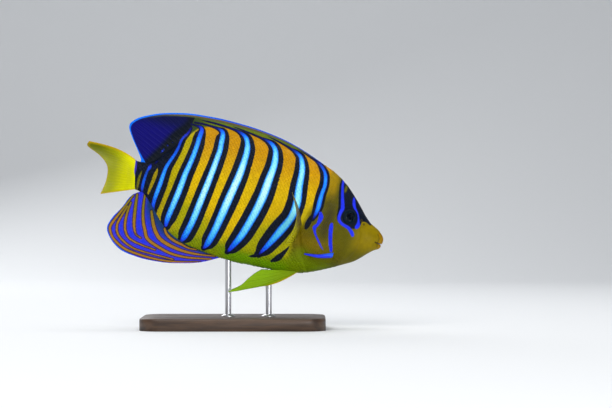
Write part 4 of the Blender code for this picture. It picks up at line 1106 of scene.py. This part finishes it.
def anal_marks(x, z, outward, from_edge):
    line = np.full(x.shape, FAR)
    for stout, rows in ANAL_LINES:
        share = np.minimum(1, (np.arange(len(rows)) + 0.6) / (len(rows) - 1))
        half = LINE_TIP + (stout - LINE_TIP) * np.sin(math.pi * share**0.8)
        line = np.minimum(line, line_edge(x, z, np.column_stack([rows, half])))
    dark = line - LINE_BORDER
    line = line + LINE_TRIM
    ground = coated(
        ANAL_VIOLET,
        (ANAL_BLUE, ease((line - 0.5) / 0.8)),
        # painted shade darkens the fin near the body
        (mix(ANAL_ROOT_SHADE, ANAL_ROOT_OLIVE_SHADE, ease((x - 34) / 12)), ease((0.31 - outward) / 0.27) * ease((x - 8) / 5)),
        (MARGIN_BLUE, 0.7 * ease((1.4 - from_edge) / 0.8) * ease((14 - x) / 10)),
    )
    line = np.where(from_edge < 0.4, 2, line)
    return ground, np.where(from_edge < 0.5, 2, dark), line, mix(ANAL_ORANGE, ANAL_TAN, ease((z + 34) / 16))


median_fin("anal_fin", ANAL, ANAL_SPINES, ANAL_SOFT, math.pi, anal_marks, "blue_fin")

# Tail fin. Its rays start across the end of the stalk. The middle ones are swung furthest to the fish's
# left, away from the camera, so that the fin is cupped.
# the share across the fin from its top, and x, y and z of its tip there
CAUDAL = (
    (0, -37.4, 11, 15.1), (0.1, -38.2, 13, 12.4), (0.3, -28.4, 17, 7.6), (0.5, -22.6, 21, 2.4),
    (0.75, -20.8, 22, -6.8), (1, -21.9, 19, -17),
)
CAUDAL_BOW, CAUDAL_SWING_POWER = 2.6, 1.6
TAIL_YELLOW, TAIL_ORANGE, TAIL_VIOLET = (0.7, 0.7, 0.0), (0.62, 0.38, 0.0), (0.04, 0.03, 0.4)
# painted shade where the cupped fin turns from the light: a dim yellow over its trailing part and a dark
# olive over its upper lobe
TAIL_REAR_SHADE, TAIL_LOBE_SHADE = (0.4, 0.42, 0.0), (0.13, 0.15, 0.0)
FAN_STEP = 0.004


def fan_fin(node, middle, marks, finish, slot, grid, rays, breadth, ray_half, root_half,
            sunk, spine_half=0, side=1):
    """A fin whose mid surface is given by middle(share, outward), thickened along its own normals."""
    def shape(share, outward, face):
        along = middle(share, outward + FAN_STEP) - middle(share, outward - FAN_STEP)
        across = middle(share + FAN_STEP, outward) - middle(share - FAN_STEP, outward)
        index = share * (rays - 1)
        spiny = (index < 0.5) & (spine_half > 0)
        ridge = ray_ridge(index - np.round(index), outward, breadth, ~spiny)
        root = root_half(share) if callable(root_half) else root_half
        thick = fin_half(outward, ridge, np.where(spiny, spine_half, ray_half), root, sunk)
        points = middle(share, outward) + unit(np.cross(along, across)) * (face * thick)[:, None]
        return points, ridge, marks(points[:, 0], share, outward)

    make_fin(node, *grid, shape, finish, slot, side)


def caudal_middle(share, outward):
    ends = body_point(np.full(2, BODY_END), np.array([0, math.pi]))
    root = ends[0] + (ends[1] - ends[0]) * (0.02 + 0.96 * share)[:, None]
    root = root + np.array([0.8, 0, 0])
    x, y, z = smooth(CAUDAL, share)
    arch = CAUDAL_BOW * np.clip(1 - share, 0, 1) ** 2 * np.sin(math.pi * np.clip(outward, 0, 1) ** 0.8)
    px = root[:, 0] + (x - root[:, 0]) * outward
    pz = root[:, 2] + (z - root[:, 2]) * outward + arch
    swing = y * np.clip(outward, 0, 2) ** CAUDAL_SWING_POWER
    bent = sway(np.minimum(0, px) * 0.5) - sway(px)
    return np.stack([px, swing + bent, pz], -1)


def caudal_root(share):
    stalk = smooth(HALF_WIDTH, BODY_END)[0] * np.sqrt(np.clip(1 - (1.9 * share - 0.95) ** 2, 0.04, 1)) - 0.1
    return np.maximum(0.5, stalk)


def unlined(ground, line_colour=DEEP_BLUE):
    """Marks for a piece with no black and no lines."""
    far = np.full(len(ground), FAR)
    return ground, far, far, np.broadcast_to(line_colour, ground.shape)


def caudal_marks(x, share, outward):
    # Painted shade darkens the trailing part and the upper lobe, where the cupped fin turns from the light.
    ground = coated(
        TAIL_YELLOW,
        (TAIL_REAR_SHADE, ease((-7 - x) / 11)),
        (TAIL_LOBE_SHADE, ease((outward - 0.25) / 0.55) * ease((0.42 - share) / 0.36)),
        (TAIL_ORANGE, 0.75 * ease((0.07 - share) / 0.07) + 0.6 * ease((share - 0.95) / 0.05)),
        (TAIL_ORANGE, 0.5 * ease((outward - 0.92) / 0.08)),
    )
    ground, far, _, violet = unlined(ground, TAIL_VIOLET)
    from_root = outward * (-smooth(CAUDAL, share)[0] - 1.2)
    return ground, far, from_root - 1.3 + 1.5 * ease((share - 0.3) / 0.5), violet


fan_fin("caudal_fin", caudal_middle, caudal_marks, fin_paint, "yellow_fin", grid=(272, 40), rays=17,
        breadth=0.16, ray_half=0.34, root_half=caudal_root, sunk=0.35)

# Paired fins. The pectorals are clear yellowish fans held out from the flanks, and the pelvics are long,
# pointed and yellow-green with an orange leading edge.
# the share across the fin, x and z of its root, then x of its tip, how far out it stands, and z
PECTORAL = (
    (0, 111.8, -4.2, 101.4, 29, 16), (0.25, 111.4, -7, 105.6, 33, 8.4), (0.5, 110.9, -9.8, 108.4, 33.5, 0.4),
    (0.75, 110.2, -12.6, 108, 29, -8.2), (1, 109.4, -15.4, 105.6, 17.5, -17),
)
# the same with x and y of the root, and x, y and z of the tip
PELVIC = (
    (0, 118.6, -4.0, 96, -6.5, -48.6), (0.2, 117.2, -4.2, 77.8, -9.5, -57),
    (0.4, 115.8, -4.4, 84, -8.5, -51.2), (0.6, 114.4, -4.6, 87.5, -8, -45.8),
    (0.8, 112.9, -4.7, 91, -7, -41.2), (1, 111.4, -4.8, 94.5, -6, -37.8),
)
PELVIC_BOW = 2.4
PECTORAL_DIM, PECTORAL_YELLOW, PECTORAL_EDGE = (0.2, 0.16, 0.03), (0.56, 0.53, 0.01), (0.12, 0.11, 0.05)
PELVIC_GREEN, PELVIC_YELLOW, PELVIC_ORANGE = (0.2, 0.32, 0.0), (0.22, 0.4, 0.002), (0.5, 0.3, 0.0)


def pectoral_middle(share, outward):
    root_x, root_z, tip_x, out, tip_z = smooth(PECTORAL, share)
    reach = np.clip(outward, 0, 2)
    x = root_x + (tip_x - root_x) * reach**1.5
    z = root_z + (tip_z - root_z) * reach**0.9
    return np.stack([x, -(side_at(root_x, root_z) - 0.8 + (out + 0.8) * outward), z], -1)


def pectoral_marks(x, share, outward):
    ground = mix(PECTORAL_DIM, PECTORAL_YELLOW, ease((share - 0.35) / 0.4))
    ground = mix(HEAD_OLIVE, ground, ease((outward - 0.03) / 0.2))
    return unlined(mix(ground, PECTORAL_EDGE, 0.6 * ease((0.12 - share) / 0.1)))


def pelvic_middle(share, outward):
    root_x, root_y, tip_x, tip_y, tip_z = smooth(PELVIC, share)
    root_z = belly_at(root_x, root_y) + 0.8
    x = root_x + (tip_x - root_x) * outward
    y = root_y + (tip_y - root_y) * outward
    bow = PELVIC_BOW * np.sin(math.pi * np.clip(outward, 0, 1)) * (1 - share)
    return np.stack([x, y, root_z + (tip_z - root_z) * outward - bow], -1)


def pelvic_marks(x, share, outward):
    ground = mix(PELVIC_GREEN, PELVIC_YELLOW, ease((outward - 0.1) / 0.6))
    return unlined(mix(ground, PELVIC_ORANGE, 0.8 * ease((0.1 - share) / 0.1)))


clear_paint = painted_material("clear fin web", 0.4, mottle=0.1)
clear_tree = clear_paint.node_tree
link_shader(clear_paint, "Alpha", remap(clear_tree, attribute(clear_tree, "ridge"), 0.1, 0.8, 0.4, 0.95))
for side, word in ((1, "right"), (-1, "left")):
    fan_fin(f"pectoral_fin_{word}", pectoral_middle, pectoral_marks, clear_paint, "clear_fin", grid=(192, 30),
            rays=16, breadth=0.2, ray_half=0.3, root_half=0.95, sunk=0.25, side=side)
    fan_fin(f"pelvic_fin_{word}", pelvic_middle, pelvic_marks, fin_paint, "yellow_fin", grid=(96, 34),
            rays=6, breadth=0.13, ray_half=0.36, root_half=0.75, sunk=0.3, spine_half=0.5, side=side)

# Cheek spines. A long blue spine runs back from the lower corner of each cheek plate, sunk in the cheek at
# its root and free at its tip.
CHEEK_SPINE, CHEEK_SPINE_RADIUS = ((0, 137.2, -16.6), (1, 128.5, -19.6), (2, 118.8, -20.6)), 1.9
SPINE_BLUE = (0.02, 0.12, 0.9)
spine_paint = painted_material("spine enamel", 0.32, coat=0.15)
for side, word in SIDES:
    def spine_place(share, angle):
        x, z = smooth(CHEEK_SPINE, 2 * share)
        radius = CHEEK_SPINE_RADIUS * (1 - 0.78 * share) * (0.75 + 0.25 * ease(share / 0.05))
        y = side_at(x, z) + 0.5 * share + radius * np.cos(angle) * 0.85
        return np.stack([x, side * y, z + radius * np.sin(angle)], -1)

    spine = keep(rolled_tube(40, 20, spine_place), f"cheek_spine_{word}", spine_paint)
    points = points_of(spine.data)
    paint(spine.data, unlined(mix(LINE_BLUE, SPINE_BLUE, ease((points[:, 2] + 19) / 2))))
    move_points(spine.data, placed(points))
    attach(spine, "root")

# Stand. The base is a block of stained wood with rounded corners. Two rods of brushed steel stand in it,
# and a small turned collar closes the wood round the foot of each.
# radius and height in millimetres
COLLAR = ((2.05, 0), (4.6, 0), (4.6, 0.4), (4.1, 0.9), (3.0, 1.4), (2.6, 1.6), (2.05, 1.6))
BASE_CORNER = math.radians(30)  # the block's corners that are sharper than this stay crisp


def streaked_material(name, colours, stretch, roughness, metallic=0):
    """A material with fine streaks, stretched as wood grain or brushing is."""
    made = new_material(name, {"Roughness": roughness, "Metallic": metallic})
    tree = made.node_tree
    place = add_node(tree, "Mapping", {"Vector": own_place(tree), "Scale": stretch}, "Vector")
    inputs = {"Vector": place, "Scale": 1, "Detail": 6, "Distortion": 0.4}
    grain = add_node(tree, "TexNoise", inputs, "Fac")
    link_shader(made, "Base Color", mix_node(tree, remap(tree, grain, 0.35, 0.65), *colours))
    add_bump(made, grain, 0.00003, 0.5)
    return made


WOOD, WOOD_GRAIN = ((0.035, 0.018, 0.01), (0.085, 0.045, 0.024)), (22, 260, 260)
STEEL, STEEL_BRUSHING = ((0.5, 0.5, 0.52), (0.62, 0.62, 0.64)), (900, 900, 60)
dark_wood = streaked_material("stained wood", WOOD, WOOD_GRAIN, 0.42)
steel = streaked_material("brushed steel", STEEL, STEEL_BRUSHING, 0.32, 1)
block = bmesh.new()
block.from_mesh(bpy.data.objects["stand_base"].data)
bmesh.ops.remove_doubles(block, verts=block.verts[:], dist=1e-6)
stand_block = keep(block, "stand_block", dark_wood)
stand_block.data.set_sharp_from_angle(angle=BASE_CORNER)
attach(stand_block, "root")
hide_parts("stand_base")
base_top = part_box("stand_base")[1][2]
for rod_name in ("stand_rod_front", "stand_rod_rear"):
    bpy.data.objects[rod_name].data.materials[0] = steel
    rod_low, rod_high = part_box(rod_name)
    foot = Vector(((rod_low[0] + rod_high[0]) / 2, (rod_low[1] + rod_high[1]) / 2, base_top))
    ring = spun(COLLAR, 48, closed=True)
    bmesh.ops.scale(ring, verts=ring.verts[:], vec=(MM, MM, MM))
    bmesh.ops.translate(ring, verts=ring.verts[:], vec=foot)
    collar = keep(ring, rod_name.replace("rod", "collar"), steel)
    collar.data.shade_flat()
    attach(collar, "root")
